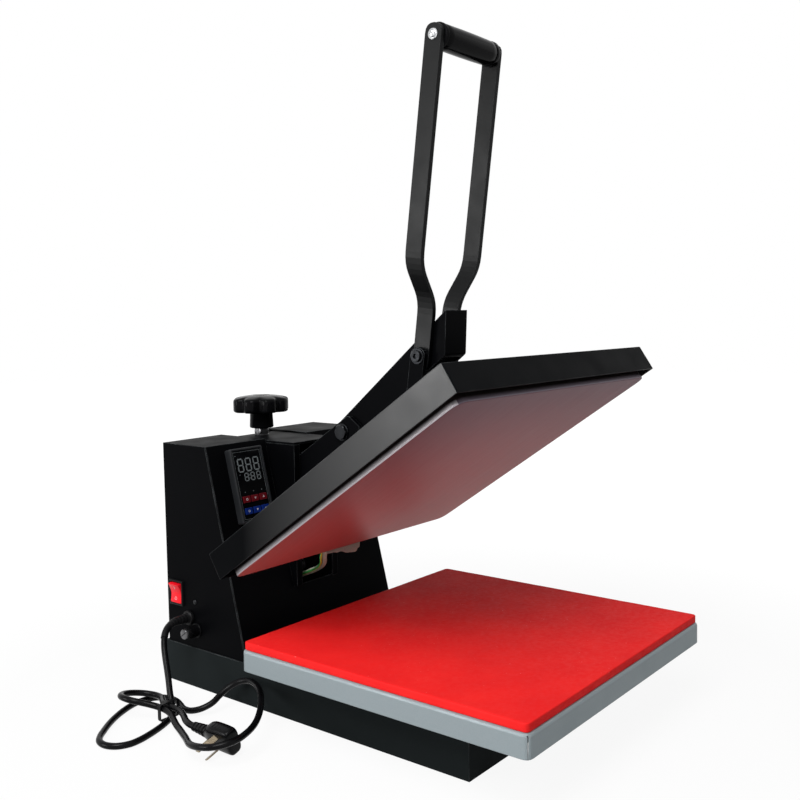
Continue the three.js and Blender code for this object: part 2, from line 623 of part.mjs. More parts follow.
// The plug lies tilted, its prongs and one edge of its body on the floor
function makePlug(group) {
  const halfLength = plug.length / 2;
  const halfWidth = plug.width / 2;
  const middle = plug.height / 2;
  const slant = radians(prong.slantAngle);
  const slantReach = (prong.width * Math.sin(slant) + prong.thickness * Math.cos(slant)) / 2;
  const lowReach = prong.side + slantReach;
  const tilt = Math.atan2(prong.length, halfWidth - lowReach);
  const [endX, endY, endZ] = cordPoints[cordPoints.length - 1];
  const frame = new THREE.Group();
  frame.rotation.y = tilt;
  frame.position.set(
    endX - middle * Math.sin(tilt), endY - seat - halfLength - plug.tail, endZ - middle * Math.cos(tilt),
  );
  const shoulder = halfLength - plug.corner;
  const corners = [
    [-halfWidth, -halfLength], [halfWidth, -halfLength], [halfWidth, shoulder],
    [plug.rootRadius, halfLength], [-plug.rootRadius, halfLength], [-halfWidth, shoulder],
  ];
  const body = new THREE.ExtrudeGeometry(outline(corners, plug.corner), {
    depth: plug.height - 2 * plug.edge, bevelThickness: plug.edge, bevelSize: plug.edge,
    bevelOffset: -plug.edge, bevelSegments: 2, curveSegments: cornerSteps,
  });
  body.translate(0, 0, plug.edge);
  const rib = plug.tail / (2 * plug.ribs);
  const profile = [[0, -plug.corner], [plug.rootRadius, -plug.corner], [plug.rootRadius, 0]];
  for (let i = 0; i < plug.ribs; i += 1) {
    const radius = THREE.MathUtils.lerp(plug.rootRadius, plug.tailRadius, i / plug.ribs);
    const next = THREE.MathUtils.lerp(plug.rootRadius, plug.tailRadius, (i + 1) / plug.ribs);
    const waist = radius - plug.ribDepth;
    profile.push([waist, 2 * i * rib + rib / 2], [waist, (2 * i + 1) * rib]);
    profile.push([next, (2 * i + 1) * rib + rib / 2], [next, (2 * i + 2) * rib]);
  }
  profile.push([0, plug.tail]);
  const tail = revolve(profile, roundSides / 2).translate(0, halfLength, middle);
  const places = {
    line: [-prong.side, -prong.back, slant], neutral: [prong.side, -prong.back, -slant],
    earth: [0, prong.earthAhead, 0],
  };
  const blade = (name, grow) => {
    const [x, y, turn] = places[name];
    const halfThick = prong.thickness / 2 + grow;
    const halfWide = prong.width / 2 + grow;
    const solid = block(-halfThick, halfThick, -halfWide, halfWide, -prong.length, prong.seated + grow);
    return solid.rotateZ(turn).translate(x, y, 0);
  };
  const pockets = Object.keys(places).map((name) => blade(name, seat));
  add(frame, 'plug_body', cut(join(body, tail), ...pockets), 'rubber');
  for (const name of Object.keys(places)) add(frame, `plug_prong_${name}`, blade(name, 0), 'brass');
  group.add(frame);
}

// The pressure knob, its rod and its lock nut
function makeKnob(group) {
  const nutFoot = boxTop;
  const hubFoot = nutFoot + nut.height + seat;
  const discFoot = hubFoot + knob.hub;
  const lobed = new THREE.Shape();
  for (let i = 0; i < knob.steps; i += 1) {
    const angle = (2 * Math.PI * i) / knob.steps;
    const wave = (1 + Math.cos(knob.lobes * angle)) / 2;
    const radius = knob.radius - knob.edge - knob.groove * (1 - Math.sqrt(wave));
    if (i === 0) lobed.moveTo(radius, 0);
    else lobed.lineTo(radius * Math.cos(angle), radius * Math.sin(angle));
  }
  lobed.closePath();
  const disc = new THREE.ExtrudeGeometry(lobed, {
    depth: knob.thickness - 2 * knob.edge, bevelThickness: knob.edge, bevelSize: knob.edge, bevelSegments: 2,
    curveSegments: 1,
  });
  disc.translate(0, rodY, discFoot + knob.edge);
  const crownRadius = knob.radius - knob.groove;
  const hub = revolve([
    [0, hubFoot], [knob.hubRadius, hubFoot], [knob.hubRadius, discFoot + knob.edge],
    [crownRadius - knob.edge, discFoot + knob.thickness - knob.edge],
    [knob.hubRadius, discFoot + knob.thickness + knob.crown / 2],
    [0, discFoot + knob.thickness + knob.crown],
  ]).rotateX(Math.PI / 2).translate(0, rodY, 0);
  const bore = rodAlongZ(rod.radius + seat, hubFoot - overrun, hubFoot + knob.bore, 0, rodY);
  add(group, 'pressure_knob', cut(join(disc, hub), bore), 'blackPlastic');
  const collarTop = boxTop - box.lid - rod.collarGap;
  const spindle = revolve([
    [0, rod.foot], [rod.radius, rod.foot], [rod.radius, collarTop - rod.collar],
    [rod.collarRadius, collarTop - rod.collar], [rod.collarRadius, collarTop], [rod.radius, collarTop],
    [rod.radius, hubFoot + knob.bore - seat], [0, hubFoot + knob.bore - seat],
  ]).rotateX(Math.PI / 2).translate(0, rodY, 0);
  add(group, 'adjusting_rod', spindle, 'steel');
  const cornerRadius = nut.acrossFlats / Math.sqrt(3);
  const hexagon = rodAlongZ(cornerRadius, nutFoot, nutFoot + nut.height, 0, rodY, 6);
  const thread = rodAlongZ(rod.radius + seat, nutFoot - overrun, nutFoot + nut.height + overrun, 0, rodY);
  add(group, 'lock_nut', cut(hexagon, thread), 'steel');
}

// The bracket that slides on the rod and carries the lever's pin
function makeBracket(group) {
  const blockBackY = boxBackY - box.back - bracket.blockBack;
  const blockFrontY = blockBackY - bracket.blockDepth;
  const foot = bracket.blockFoot;
  const top = foot + bracket.blockHeight;
  const shape = outline([
    [blockBackY, foot], [blockBackY, top], [leverPinY - bracket.ahead, leverPin.height + bracket.crown],
    [leverPinY - bracket.nose, leverPin.height + bracket.noseRise],
    [leverPinY - bracket.chin, leverPin.height - bracket.chinDrop], [blockFrontY, foot],
  ], bracket.corners);
  const outer = bracket.offset + bracket.plate;
  const plates = Object.values(sides).map((side) => sidePlate(shape, side * bracket.offset, side * outer));
  const carriage = block(-outer, outer, blockFrontY, blockBackY, foot, top);
  const thread = rodAlongZ(rod.radius + seat, foot - overrun, top + overrun, 0, rodY);
  const pinHole = rodAlongX(
    leverPin.radius + seat, -outer - overrun, outer + overrun, leverPinY, leverPin.height,
  );
  add(group, 'adjusting_bracket', cut(join(carriage, ...plates), thread, pinHole), 'blackPaint');
  const bolt = headedPin(leverPin.radius, outer + seat, leverPin.headRadius, leverPin.head, 6);
  const shank = headedPin(leverPin.radius, outer, leverPin.radius, seat);
  add(group, 'lever_pin', join(bolt, shank).translate(0, leverPinY, leverPin.height), 'steel');
}

// The lever: a channel with a closed front, turning on the bracket's pin
function makeLever(group) {
  const frame = new THREE.Group();
  frame.position.set(0, leverPinY, leverPin.height);
  frame.rotation.x = leverTurn;
  const half = lever.halfWidth;
  const shape = outline([
    [0, lever.eye], [-lever.front, lever.upperEnd], [-lever.frontFoot, -lever.lowerEdge],
    [-lever.frontFoot + lever.chamfer, -lever.lowerEdge], [0, -lever.eye], [lever.eye, -lever.eye],
    [lever.eye, lever.eye],
  ], [0, lever.fold, lever.fold, 0, 0, lever.eye, lever.eye]);
  const solid = sidePlate(shape, -half, half);
  const reach = lever.front + overrun;
  const frontRise = Math.hypot(lever.front - lever.frontFoot, lever.upperEnd + lever.lowerEdge);
  const webRun = (lever.plate * frontRise) / (lever.upperEnd + lever.lowerEdge);
  const insideShape = outline([
    [overrun + lever.eye, reach], [-lever.front + webRun, reach],
    [-lever.front + webRun, lever.upperEnd], [-lever.frontFoot + webRun, -lever.lowerEdge],
    [-lever.frontFoot + webRun, -reach], [overrun + lever.eye, -reach],
  ]);
  const inside = sidePlate(insideShape, -half + lever.plate, half - lever.plate);
  const eyeHole = rodAlongX(leverPin.radius + seat + seat / 2, -half - overrun, half + overrun, 0, 0);
  const linkHole = rodAlongX(linkPin.radius + seat, -half - overrun, half + overrun, -lever.reach, 0);
  add(frame, 'lever', cut(solid, inside, eyeHole, linkHole), 'blackPaint');
  group.add(frame);
}

// The handle: two flat bars from the link pin up, a round grip between them and its screws
function makeHandle(group) {
  const frame = new THREE.Group();
  frame.position.set(0, linkPinY, linkPinZ);
  frame.rotation.x = barLean;
  const half = bar.width / 2;
  const side = outline([
    [-half, -bar.tail], [half, -bar.tail], [half, bar.top], [-half, bar.top],
  ], half);
  for (const [word, sign] of Object.entries(sides)) {
    const low = barInner;
    const high = bar.upperHalf - bar.thickness / 2;
    const bends = [
      [low, -bar.tail], [low + bar.thickness, -bar.tail], [low + bar.thickness, bar.lowerBend],
      [high + bar.thickness, bar.upperBend], [high + bar.thickness, bar.top], [high, bar.top],
      [high, bar.upperBend], [low, bar.lowerBend],
    ].map(([x, z]) => [sign * x, z]);
    const radii = [0, 0, bar.bendRadius, bar.bendRadius, 0, 0, bar.bendRadius, bar.bendRadius];
    if (sign < 0) {
      bends.reverse();
      radii.reverse();
    }
    const strip = frontPlate(outline(bends, radii), -half, half);
    const width = sidePlate(side, -bar.upperHalf - overrun, bar.upperHalf + overrun);
    const hole = rodAlongX(
      linkPin.radius + seat, sign * (low - overrun), sign * (low + bar.thickness + overrun), 0, 0,
    );
    add(frame, `handle_bar_${word}`, cut(common(strip, width), hole), 'blackPaint');
  }
  const inner = bar.upperHalf - bar.thickness / 2 - seat;
  const height = bar.top - grip.fromTop;
  const sleeveShape = revolve([
    [0, -inner], [grip.radius - grip.edge, -inner], [grip.radius, -inner + grip.edge],
    [grip.radius, inner - grip.edge], [grip.radius - grip.edge, inner], [0, inner],
  ]).rotateZ(-Math.PI / 2);
  add(frame, 'handle_grip', sleeveShape.translate(0, 0, height), 'blackPlastic');
  for (const [word, sign] of Object.entries(sides)) {
    const start = bar.upperHalf + bar.thickness / 2 + seat;
    const screw = revolve([
      [0, 0], [gripScrew.flange, 0], [gripScrew.flange, gripScrew.flangeThickness],
      [gripScrew.radius, gripScrew.flangeThickness], [gripScrew.radius, gripScrew.head], [0, gripScrew.head],
    ], roundSides / 2).rotateZ((-sign * Math.PI) / 2);
    add(frame, `grip_screw_${word}`, screw.translate(sign * start, 0, height), 'chrome');
  }
  const barOuter = barInner + bar.thickness;
  add(frame, 'lever_link_pin', rodAlongX(linkPin.radius, -barOuter, barOuter, 0, 0), 'steel');
  group.add(frame);
}

// The two short links from the platen's pin up to the lever, each with its own bolt at the top
function makeLinks(group) {
  const frame = new THREE.Group();
  frame.position.set(0, seatY, seatZ);
  frame.rotation.x = linkTurn;
  const half = link.width / 2;
  const shape = outline([
    [-half, -half], [half, -half], [half, linkLength + half], [-half, linkLength + half],
  ], half);
  for (const [word, sign] of Object.entries(sides)) {
    const plate = sidePlate(shape, sign * linkInner, sign * linkOuter);
    const x0 = sign * (linkInner - overrun);
    const x1 = sign * (linkOuter + overrun);
    const upper = rodAlongX(linkPin.radius + seat, x0, x1, 0, linkLength);
    const lower = rodAlongX(linkSeat.pinRadius + seat + seat / 2, x0, x1, 0, 0);
    add(frame, `link_${word}`, cut(plate, upper, lower), 'blackPaint');
    const bolt = revolve([
      [0, linkInner], [linkPin.radius, linkInner], [linkPin.radius, linkOuter + seat],
      [linkPin.headRadius, linkOuter + seat], [linkPin.headRadius, linkOuter + seat + linkPin.head],
      [0, linkOuter + seat + linkPin.head],
    ]).rotateZ((-sign * Math.PI) / 2);
    add(frame, `link_bolt_${word}`, bolt.translate(0, 0, linkLength), 'chrome');
  }
  group.add(frame);
}

// The upper platen with its arms, modelled closed and turned open about the hinge
function makeUpperPlaten(group) {
  const frame = new THREE.Group();
  frame.position.set(0, hingeY, hinge.height);
  frame.rotation.x = openTurn;
  const y0 = platenMiddle - coverLength / 2;
  const y1 = platenMiddle + coverLength / 2;
  const shell = cut(
    easedSlab(-coverHalf, coverHalf, y0, y1, coverFloor, coverRoof, cover.corner, cover.edge),
    block(
      -coverHalf + cover.sheet, coverHalf - cover.sheet, y0 + cover.sheet, y1 - cover.sheet,
      coverFloor - overrun, coverRoof - cover.sheet,
    ),
  );
  add(frame, 'upper_cover', shell, 'blackPaint');
  const plateTop = platenFloor + platen.thickness;
  const halfWidth = platen.width / 2;
  const halfLength = platen.length / 2;
  const slab = easedSlab(
    -halfWidth, halfWidth, -platenMiddle - halfLength, -platenMiddle + halfLength,
    -plateTop, -platenFloor, platen.corner, platen.edge,
  );
  add(frame, 'heating_plate', slab.rotateX(Math.PI), 'coatedPlate');
  add(frame, 'insulation_mat', block(
    -halfWidth + mat.margin, halfWidth - mat.margin, platenMiddle - halfLength + mat.margin,
    platenMiddle + halfLength - mat.margin, plateTop + seat, coverRoof - cover.sheet - seat,
  ), 'glassWool');
  const footFloor = coverRoof + seat;
  const footTop = footFloor + arm.foot;
  const armTop = coverRoof + arm.rise;
  const noseY = platenMiddle - arm.nose;
  const shape = outline([
    [0, -arm.eye], [-arm.neck, -arm.neckDrop], [y1 + cover.margin, footTop], [noseY, footTop],
    [noseY, armTop], [y1 - overrun, armTop], [-arm.shoulder, arm.shoulderRise], [0, arm.eye],
    [arm.eye, arm.eye], [arm.eye, -arm.eye],
  ], [
    0, arm.crook, arm.heel, arm.toe, arm.noseCorner, arm.sweep, arm.sweep, arm.hingeCorner, arm.eye, arm.eye,
  ]);
  const outer = arm.offset + arm.thickness;
  const plates = Object.values(sides).map((side) => sidePlate(shape, side * arm.offset, side * outer));
  const foot = block(
    -arm.footWidth / 2, arm.footWidth / 2, noseY - overrun, -arm.footStart, footFloor, footTop + seat,
  );
  const hingeHole = rodAlongX(hinge.pinRadius + seat + seat / 2, -outer - overrun, outer + overrun, 0, 0);
  const seatHole = rodAlongX(
    linkSeat.pinRadius + seat, -outer - overrun, outer + overrun, platenMiddle, linkSeat.rise,
  );
  add(frame, 'platen_yoke', cut(join(foot, ...plates), hingeHole, seatHole), 'blackPaint');
  const seatPin = headedPin(linkSeat.pinRadius, linkOuter + seat, linkPin.headRadius, linkPin.head);
  add(frame, 'platen_link_pin', seatPin.translate(0, platenMiddle, linkSeat.rise), 'chrome');
  makeLeads(frame, y1);
  group.add(frame);
  const mainPin = headedPin(hinge.pinRadius, boxHalf + seat, hinge.headRadius, hinge.head);
  add(group, 'main_hinge_pin', mainPin.translate(0, hingeY, hinge.height), 'steel');
}

// Leads from the slot up into the back of the platen, and the cloth flap at its back edge
function makeLeads(frame, backEdge) {
  const gapY = (backEdge - cover.sheet + platenMiddle + platen.length / 2) / 2;
  const lead = (piece) => {
    const low = coverFloor - leadRoute.dip;
    const x = (share) => THREE.MathUtils.lerp(sleeve.start, sleeve.end, share) - piece.aside;
    const startY = -leadRoute.start - sleeve.radius;
    const startZ = -arm.eye - sleeve.radius;
    return [
      [x(0), startY, startZ],
      [x(leadRoute.sagShare), (startY + backEdge) / 2, (startZ + low) / 2 - leadRoute.slack],
      [x(leadRoute.dipShare), backEdge + leadRoute.dip, low],
      [x(1), backEdge - cover.sheet, low + leadRoute.rise],
      [x(1), gapY, coverFloor - sleeve.radius],
      [x(1), gapY, coverFloor + leadRoute.rise],
    ];
  };
  const aside = sleeve.radius + earthWire.radius + earthWire.beside;
  const leads = {
    earth_wire: [{ ...earthWire, aside }, 'earthLead'], glass_sleeve: [{ ...sleeve, aside: 0 }, 'glassWool'],
  };
  for (const [name, [piece, finish]] of Object.entries(leads)) {
    add(frame, name, tube(lead(piece), piece.radius, piece.sides, piece.steps), finish);
  }
  const hemY = backEdge - cover.sheet - seat;
  add(frame, 'cloth_flap', block(
    flap.offset, flap.offset + flap.width, hemY - flap.thickness, hemY,
    coverFloor - flap.drop, coverFloor + flap.hold,
  ), 'glassWool');
}

const press = new THREE.Group();
makeBase(press);
makeRails(press);
makeTray(press);
makeCentreBox(press);
makeFrontPanel(press);
makeCovers(press);
makeController(press);
makeSwitch(press);
makeFuse(press);
makeCord(press);
makePlug(press);
makeKnob(press);
makeBracket(press);
makeLever(press);
makeHandle(press);
makeLinks(press);
makeUpperPlaten(press);

export default press;
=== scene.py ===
# %% [markdown]
# # A clamshell heat press, dressed for its photograph
#
# The machine stands open: a red silicone pad waits on the lower tray, the heated platen
# hangs above it on two arms, and a long handle rises from the toggle. The solids come
# packed from the CAD model, already in their right places. This lesson lights them, gives
# each one a believable finish, and swaps the plain stand-ins for finer pieces.

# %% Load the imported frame
import math

import bmesh
import bpy
from mathutils import Matrix, Vector, noise


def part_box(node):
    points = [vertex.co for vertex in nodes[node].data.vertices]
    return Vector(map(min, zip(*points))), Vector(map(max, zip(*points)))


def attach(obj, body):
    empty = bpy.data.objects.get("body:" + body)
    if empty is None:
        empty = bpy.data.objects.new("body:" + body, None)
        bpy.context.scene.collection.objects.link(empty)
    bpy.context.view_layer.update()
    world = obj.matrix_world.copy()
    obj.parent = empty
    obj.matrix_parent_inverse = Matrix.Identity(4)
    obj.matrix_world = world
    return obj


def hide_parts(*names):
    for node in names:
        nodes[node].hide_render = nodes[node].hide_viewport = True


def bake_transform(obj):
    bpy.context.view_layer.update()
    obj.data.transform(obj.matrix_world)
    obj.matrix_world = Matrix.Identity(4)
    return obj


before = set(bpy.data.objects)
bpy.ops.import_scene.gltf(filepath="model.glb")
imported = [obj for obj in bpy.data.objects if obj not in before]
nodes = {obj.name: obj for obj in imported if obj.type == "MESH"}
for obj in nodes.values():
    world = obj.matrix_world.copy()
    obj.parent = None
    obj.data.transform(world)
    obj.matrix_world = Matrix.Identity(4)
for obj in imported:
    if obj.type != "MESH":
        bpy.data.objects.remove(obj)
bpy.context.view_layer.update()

# %% [markdown]
# ## The camera
#
# The photograph looks down on the press from its front left, nearly level. A camera can be
# aimed with a constraint, but a matrix built from yaw, pitch and roll says exactly where it
# looks, and needs no helper object. The lens shift carries the part of the framing that
# turning would spoil, because a turned camera makes the upright edges lean.

# %% Place the camera
camera_place = Vector((-0.8743, -0.7275, 0.4601))
yaw, pitch, roll = math.radians(52.59), math.radians(-3.741), math.radians(-0.875)
ahead = Vector((math.sin(yaw) * math.cos(pitch), math.cos(yaw) * math.cos(pitch), math.sin(pitch)))
level_right = Vector((math.cos(yaw), -math.sin(yaw), 0))
level_up = level_right.cross(ahead)
right = level_right * math.cos(roll) + level_up * math.sin(roll)
up = level_up * math.cos(roll) - level_right * math.sin(roll)

camera_data = bpy.data.cameras.new("photo_camera")
camera_data.lens = 43.15
camera_data.sensor_width = 36
camera_data.shift_x = -0.0526
camera_data.shift_y = -0.0286
camera_data.clip_start = 0.02
camera = bpy.data.objects.new("photo_camera", camera_data)
camera.matrix_world = Matrix((right, up, -ahead)).transposed().to_4x4()
camera.matrix_world.translation = camera_place
bpy.context.scene.collection.objects.link(camera)
bpy.context.scene.camera = camera
print("camera", [round(v, 3) for v in camera_place])

# %% [markdown]
# ## Node trees in a few words
#
# Every finish below is a small node tree. Writing one link at a time hides the idea, so two
# helpers keep a tree readable: one makes a finish with its shader, the other adds a node
# and joins it up in the same line.

# %% Helpers for node trees
def add_node(tree, kind, inputs=None, **settings):
    """Adds a node; each input takes a plain value or the socket that feeds it."""
    node = tree.nodes.new(kind)
    for name, value in settings.items():
        setattr(node, name, value)
    for name, value in (inputs or {}).items():
        if isinstance(value, bpy.types.NodeSocket):
            tree.links.new(value, node.inputs[name])
        else:
            node.inputs[name].default_value = value
    return node


def new_finish(name, color, roughness, metallic=0.0, specular=0.5):
    """Makes a finish with a Principled shader, whose steady numbers sit on its own sockets."""
    finish = bpy.data.materials.new(name)
    finish.use_nodes = True
    tree = finish.node_tree
    tree.nodes.clear()
    shader = add_node(tree, "ShaderNodeBsdfPrincipled", {
        "Base Color": (*color, 1), "Roughness": roughness, "Metallic": metallic,
        "Specular IOR Level": specular})
    add_node(tree, "ShaderNodeOutputMaterial", {"Surface": shader.outputs["BSDF"]})
    return finish, tree, shader


def object_place(tree):
    """The point on the piece in metres, which is the same in every view and pose."""
    return add_node(tree, "ShaderNodeTexCoord").outputs["Object"]


def noise_field(tree, place, scale, detail=2.0, roughness=0.5, stretch=None):
    """Cloudy noise; stretch makes it longer along an axis."""
    if stretch:
        place = add_node(tree, "ShaderNodeMapping", {"Vector": place, "Scale": stretch}).outputs["Vector"]
    return add_node(tree, "ShaderNodeTexNoise", {
        "Vector": place, "Scale": scale, "Detail": detail, "Roughness": roughness,
    }).outputs["Fac"]


def remap(tree, value, low, high, to_low, to_high):
    """Stretches a value from one range to another, and holds it inside the second."""
    return add_node(tree, "ShaderNodeMapRange", {
        "Value": value, "From Min": low, "From Max": high, "To Min": to_low, "To Max": to_high,
    }).outputs["Result"]


def mix_colors(tree, factor, first, second):
    """Blends two colours, each a plain triple or a socket."""
    node = add_node(tree, "ShaderNodeMix", {0: factor}, data_type="RGBA")
    for slot_index, value in ((6, first), (7, second)):
        if isinstance(value, bpy.types.NodeSocket):
            tree.links.new(value, node.inputs[slot_index])
        else:
            node.inputs[slot_index].default_value = (*value, 1)
    return node.outputs[2]


def set_bump(tree, shader, height, distance, strength=1.0, before=None):
    """Adds relief of a real depth in metres to a finish."""
    inputs = {"Height": height, "Distance": distance, "Strength": strength}
    if before is not None:
        inputs["Normal"] = before
    bump = add_node(tree, "ShaderNodeBump", inputs)
    tree.links.new(bump.outputs["Normal"], shader.inputs["Normal"])


def calculate(tree, operation, *values):
    """One step of arithmetic on plain numbers or sockets."""
    return add_node(tree, "ShaderNodeMath", dict(enumerate(values)), operation=operation).outputs[0]


def reach_along(tree, place, axis):
    """How far a point or a direction reaches along an axis."""
    product = add_node(tree, "ShaderNodeVectorMath", {0: place, 1: axis}, operation="DOT_PRODUCT")
    return product.outputs["Value"]


def cloudy(tree, place, scale, detail, low, high):
    """Noise whose usual span is stretched from low to high."""
    return remap(tree, noise_field(tree, place, scale, detail), 0.3, 0.7, low, high)


def feed(tree, shader, sockets):
    for name, socket in sockets.items():
        tree.links.new(socket, shader.inputs[name])


print("helpers ready")

# %% [markdown]
# ## Floor, surround and lamps
#
# The photograph was cut out onto white. A white floor that is only lit would turn grey in
# places, and one that only glows would lose the shadow, so the floor near the press mostly
# glows and still takes a little light and shadow. Far away it only glows, where it has to
# meet the white world without a line. The world is white for what looks at it straight or in
# a reflection. As a light it is dimmer, and stronger from the left than from the right.

# %% Floor and world
def looked_at(tree):
    """1 for what is seen straight, mirrored or through a clear body, and 0 for light."""
    path = add_node(tree, "ShaderNodeLightPath").outputs
    mirrored = calculate(tree, "MAXIMUM", path["Is Camera Ray"], path["Is Glossy Ray"])
    return calculate(tree, "MAXIMUM", mirrored, path["Is Transmission Ray"])


def to_mesh(name, bm):
    mesh = bpy.data.meshes.new(name)
    bm.to_mesh(mesh)
    bm.free()
    return mesh


def put_in_scene(name, data):
    item = bpy.data.objects.new(name, data)
    bpy.context.scene.collection.objects.link(item)
    return item


def make_floor(half_size=6, paper_grey=0.42, glow_strength=1.07):
    bm = bmesh.new()
    bmesh.ops.create_grid(bm, x_segments=2, y_segments=2, size=half_size)
    mesh = to_mesh("floor", bm)
    put_in_scene("floor", mesh)
    material = bpy.data.materials.new("floor_paper")
    material.use_nodes = True
    tree = material.node_tree
    tree.nodes.clear()
    paper = add_node(tree, "ShaderNodeBsdfDiffuse", {"Color": (paper_grey, paper_grey, paper_grey, 1)})
    glow = add_node(tree, "ShaderNodeEmission", {"Color": (1, 1, 1, 1), "Strength": glow_strength})
    distance = add_node(tree, "ShaderNodeVectorMath", {0: object_place(tree)}, operation="LENGTH")
    share = remap(tree, distance.outputs["Value"], 0.5, 1.2, 0.86, 1.0)
    blend = add_node(tree, "ShaderNodeMixShader", {
        0: calculate(tree, "MULTIPLY", looked_at(tree), share),
        1: paper.outputs["BSDF"], 2: glow.outputs["Emission"]})
    add_node(tree, "ShaderNodeOutputMaterial", {"Surface": blend.outputs["Shader"]})
    mesh.materials.append(material)


def light_world(strength, weak=0.1, strong=1.9):
    world = bpy.data.worlds.new("studio")
    bpy.context.scene.world = world
    world.use_nodes = True
    tree = world.node_tree
    tree.nodes.clear()
    incoming = add_node(tree, "ShaderNodeNewGeometry").outputs["Incoming"]
    leftward = reach_along(tree, incoming, Vector((1, -0.45, -0.25)).normalized())
    soft = remap(tree, leftward, -1, 1, weak * strength, strong * strength)
    level = remap(tree, looked_at(tree), 0, 1, soft, 1.0)
    sky = add_node(tree, "ShaderNodeBackground", {"Color": (1, 1, 1, 1), "Strength": level})
    add_node(tree, "ShaderNodeOutputWorld", {"Surface": sky.outputs["Background"]})


make_floor()
light_world(0.30)
bpy.context.scene.view_settings.view_transform = "Standard"

# %% [markdown]
# Five soft lamps model the shapes. A wide one high above the left lights the pad, and one
# from the left reaches in between the plates. One at the back left is mirrored in the
# platen's left edge and the handle, where its reflection slides along as in the photograph.
# Two weak ones, on the right and low in front, keep the dark sides from closing up.

# %% Lamps
def add_lamp(name, place, target, width, height, watts):
    data = bpy.data.lights.new(name, "AREA")
    data.shape = "RECTANGLE"
    data.size, data.size_y = width, height
    data.energy = watts
    lamp = put_in_scene(name, data)
    aim = (Vector(target) - Vector(place)).to_track_quat("-Z", "Y")
    lamp.matrix_world = Matrix.Translation(place) @ aim.to_matrix().to_4x4()


add_lamp("key", (-1.2, -0.35, 2.2), (0, 0, 0.15), 1.4, 1.0, 27)
add_lamp("left", (-1.4, -0.35, 1.4), (-0.1, 0, 0.1), 1.0, 0.8, 20)
add_lamp("fill", (1.9, -0.9, 1.3), (0, 0, 0.25), 1.2, 1.2, 2)
add_lamp("back_left", (-1.95, 1.15, 0.62), (-0.1, -0.1, 0.38), 0.8, 0.8, 16)
add_lamp("low_front", (-1.15, -1.25, 0.26), (-0.05, 0.05, 0.2), 0.8, 0.35, 1.2)

# %% [markdown]
# ## Black powder coat
#
# Most of the press is folded sheet with a black powder coat. Baked powder never levels out
# quite flat: it has a fine orange peel about a millimetre across, a satin gloss that drifts
# a little from place to place, and it wears to a lighter tone along folded edges; that tone
# is also a painted highlight, for the light that the edges catch. The Bevel node finds
# those edges, because its rounded normal leaves the true one only there. The platen's sides
# and the handle's flats get a painted sheen, a gloss that grows towards the front for the
# light that they catch there, and the base is dusty, so they get coats of their own.

# %% Edge wear, painted edge highlights and the powder coats
def edge_mask(tree, radius):
    """1 near a sharp edge and 0 on a flat face."""
    rounded = add_node(tree, "ShaderNodeBevel", {"Radius": radius}, samples=4).outputs["Normal"]
    true = add_node(tree, "ShaderNodeNewGeometry").outputs["Normal"]
    return remap(tree, reach_along(tree, rounded, true), 0.995, 0.86, 0, 1), rounded


def facing(tree, axis):
    """1 where the piece's own surface faces along an axis or against it, and 0 across it."""
    own = add_node(tree, "ShaderNodeTexCoord").outputs["Normal"]
    return remap(tree, calculate(tree, "ABSOLUTE", reach_along(tree, own, axis)), 0.6, 0.95, 0, 1)


def powder_coat(name, color, wear_and_highlight, roughness, specular=0.012, painted_sheen=None):
    """The last argument is (from, to, level): a painted sheen that grows along Y on the left and right faces.
    """
    finish, tree, shader = new_finish(name, color, roughness, 0.0, specular)
    place = object_place(tree)
    edge, soft = edge_mask(tree, 0.0012)
    patches = remap(tree, noise_field(tree, place, 45, 3), 0.4, 0.65, 0.3, 1.0)
    dust = remap(tree, noise_field(tree, place, 9, 4), 0.35, 0.75, 0, 0.35)
    faded = mix_colors(tree, dust, color, tuple(c * 1.5 + 0.0008 for c in color))
    feed(tree, shader, {
        "Base Color": mix_colors(tree, calculate(tree, "MULTIPLY", edge, patches), faded, wear_and_highlight),
        "Roughness": cloudy(tree, place, 30, 3, roughness - 0.05, roughness + 0.07)})
    # Painted sheen: the specular level grows along Y on the side faces, for the light they catch towards the
    # front.
    if painted_sheen:
        start, end, level = painted_sheen
        along = add_node(tree, "ShaderNodeSeparateXYZ", {"Vector": place}).outputs["Y"]
        grown = remap(tree, along, start, end, specular, level)
        on_side = calculate(tree, "MULTIPLY", grown, facing(tree, (1, 0, 0)))
        feed(tree, shader, {"Specular IOR Level": calculate(tree, "MAXIMUM", on_side, specular)})
    set_bump(tree, shader, noise_field(tree, place, 1100, 1), 0.00005, 0.55, soft)
    return finish


# The edge colours below are partly wear and partly a painted highlight along the edges.
edge_wear_and_highlight = (0.085, 0.092, 0.095)
black_coat = powder_coat("black_coat", (0.0014, 0.0015, 0.0019), edge_wear_and_highlight, 0.42)
base_coat = powder_coat("base_coat", (0.0105, 0.0130, 0.0135), edge_wear_and_highlight, 0.5)
# The last numbers of the platen's and the handle's coats are a painted sheen that grows towards the front.
platen_coat = powder_coat("platen_coat", (0.0016, 0.0018, 0.0022), (0.060, 0.065, 0.068), 0.40,
                          painted_sheen=(0.06, -0.20, 0.72))
handle_coat = powder_coat("handle_coat", (0.0018, 0.0020, 0.0022), (0.020, 0.022, 0.024), 0.38, 0.06,
                          painted_sheen=(0.10, 0.0, 0.17))
print("coats", black_coat.name, base_coat.name, platen_coat.name, handle_coat.name)

# %% [markdown]
# ## Silver hammer paint on the tray
#
# The tray wears a silver-grey paint with metal flake in it. Flake paint is partly metallic:
# it takes the colour of the light and darkens where it turns away. A cell pattern varies
# the flakes, and a broad noise gives the slight unevenness of a sprayed coat.

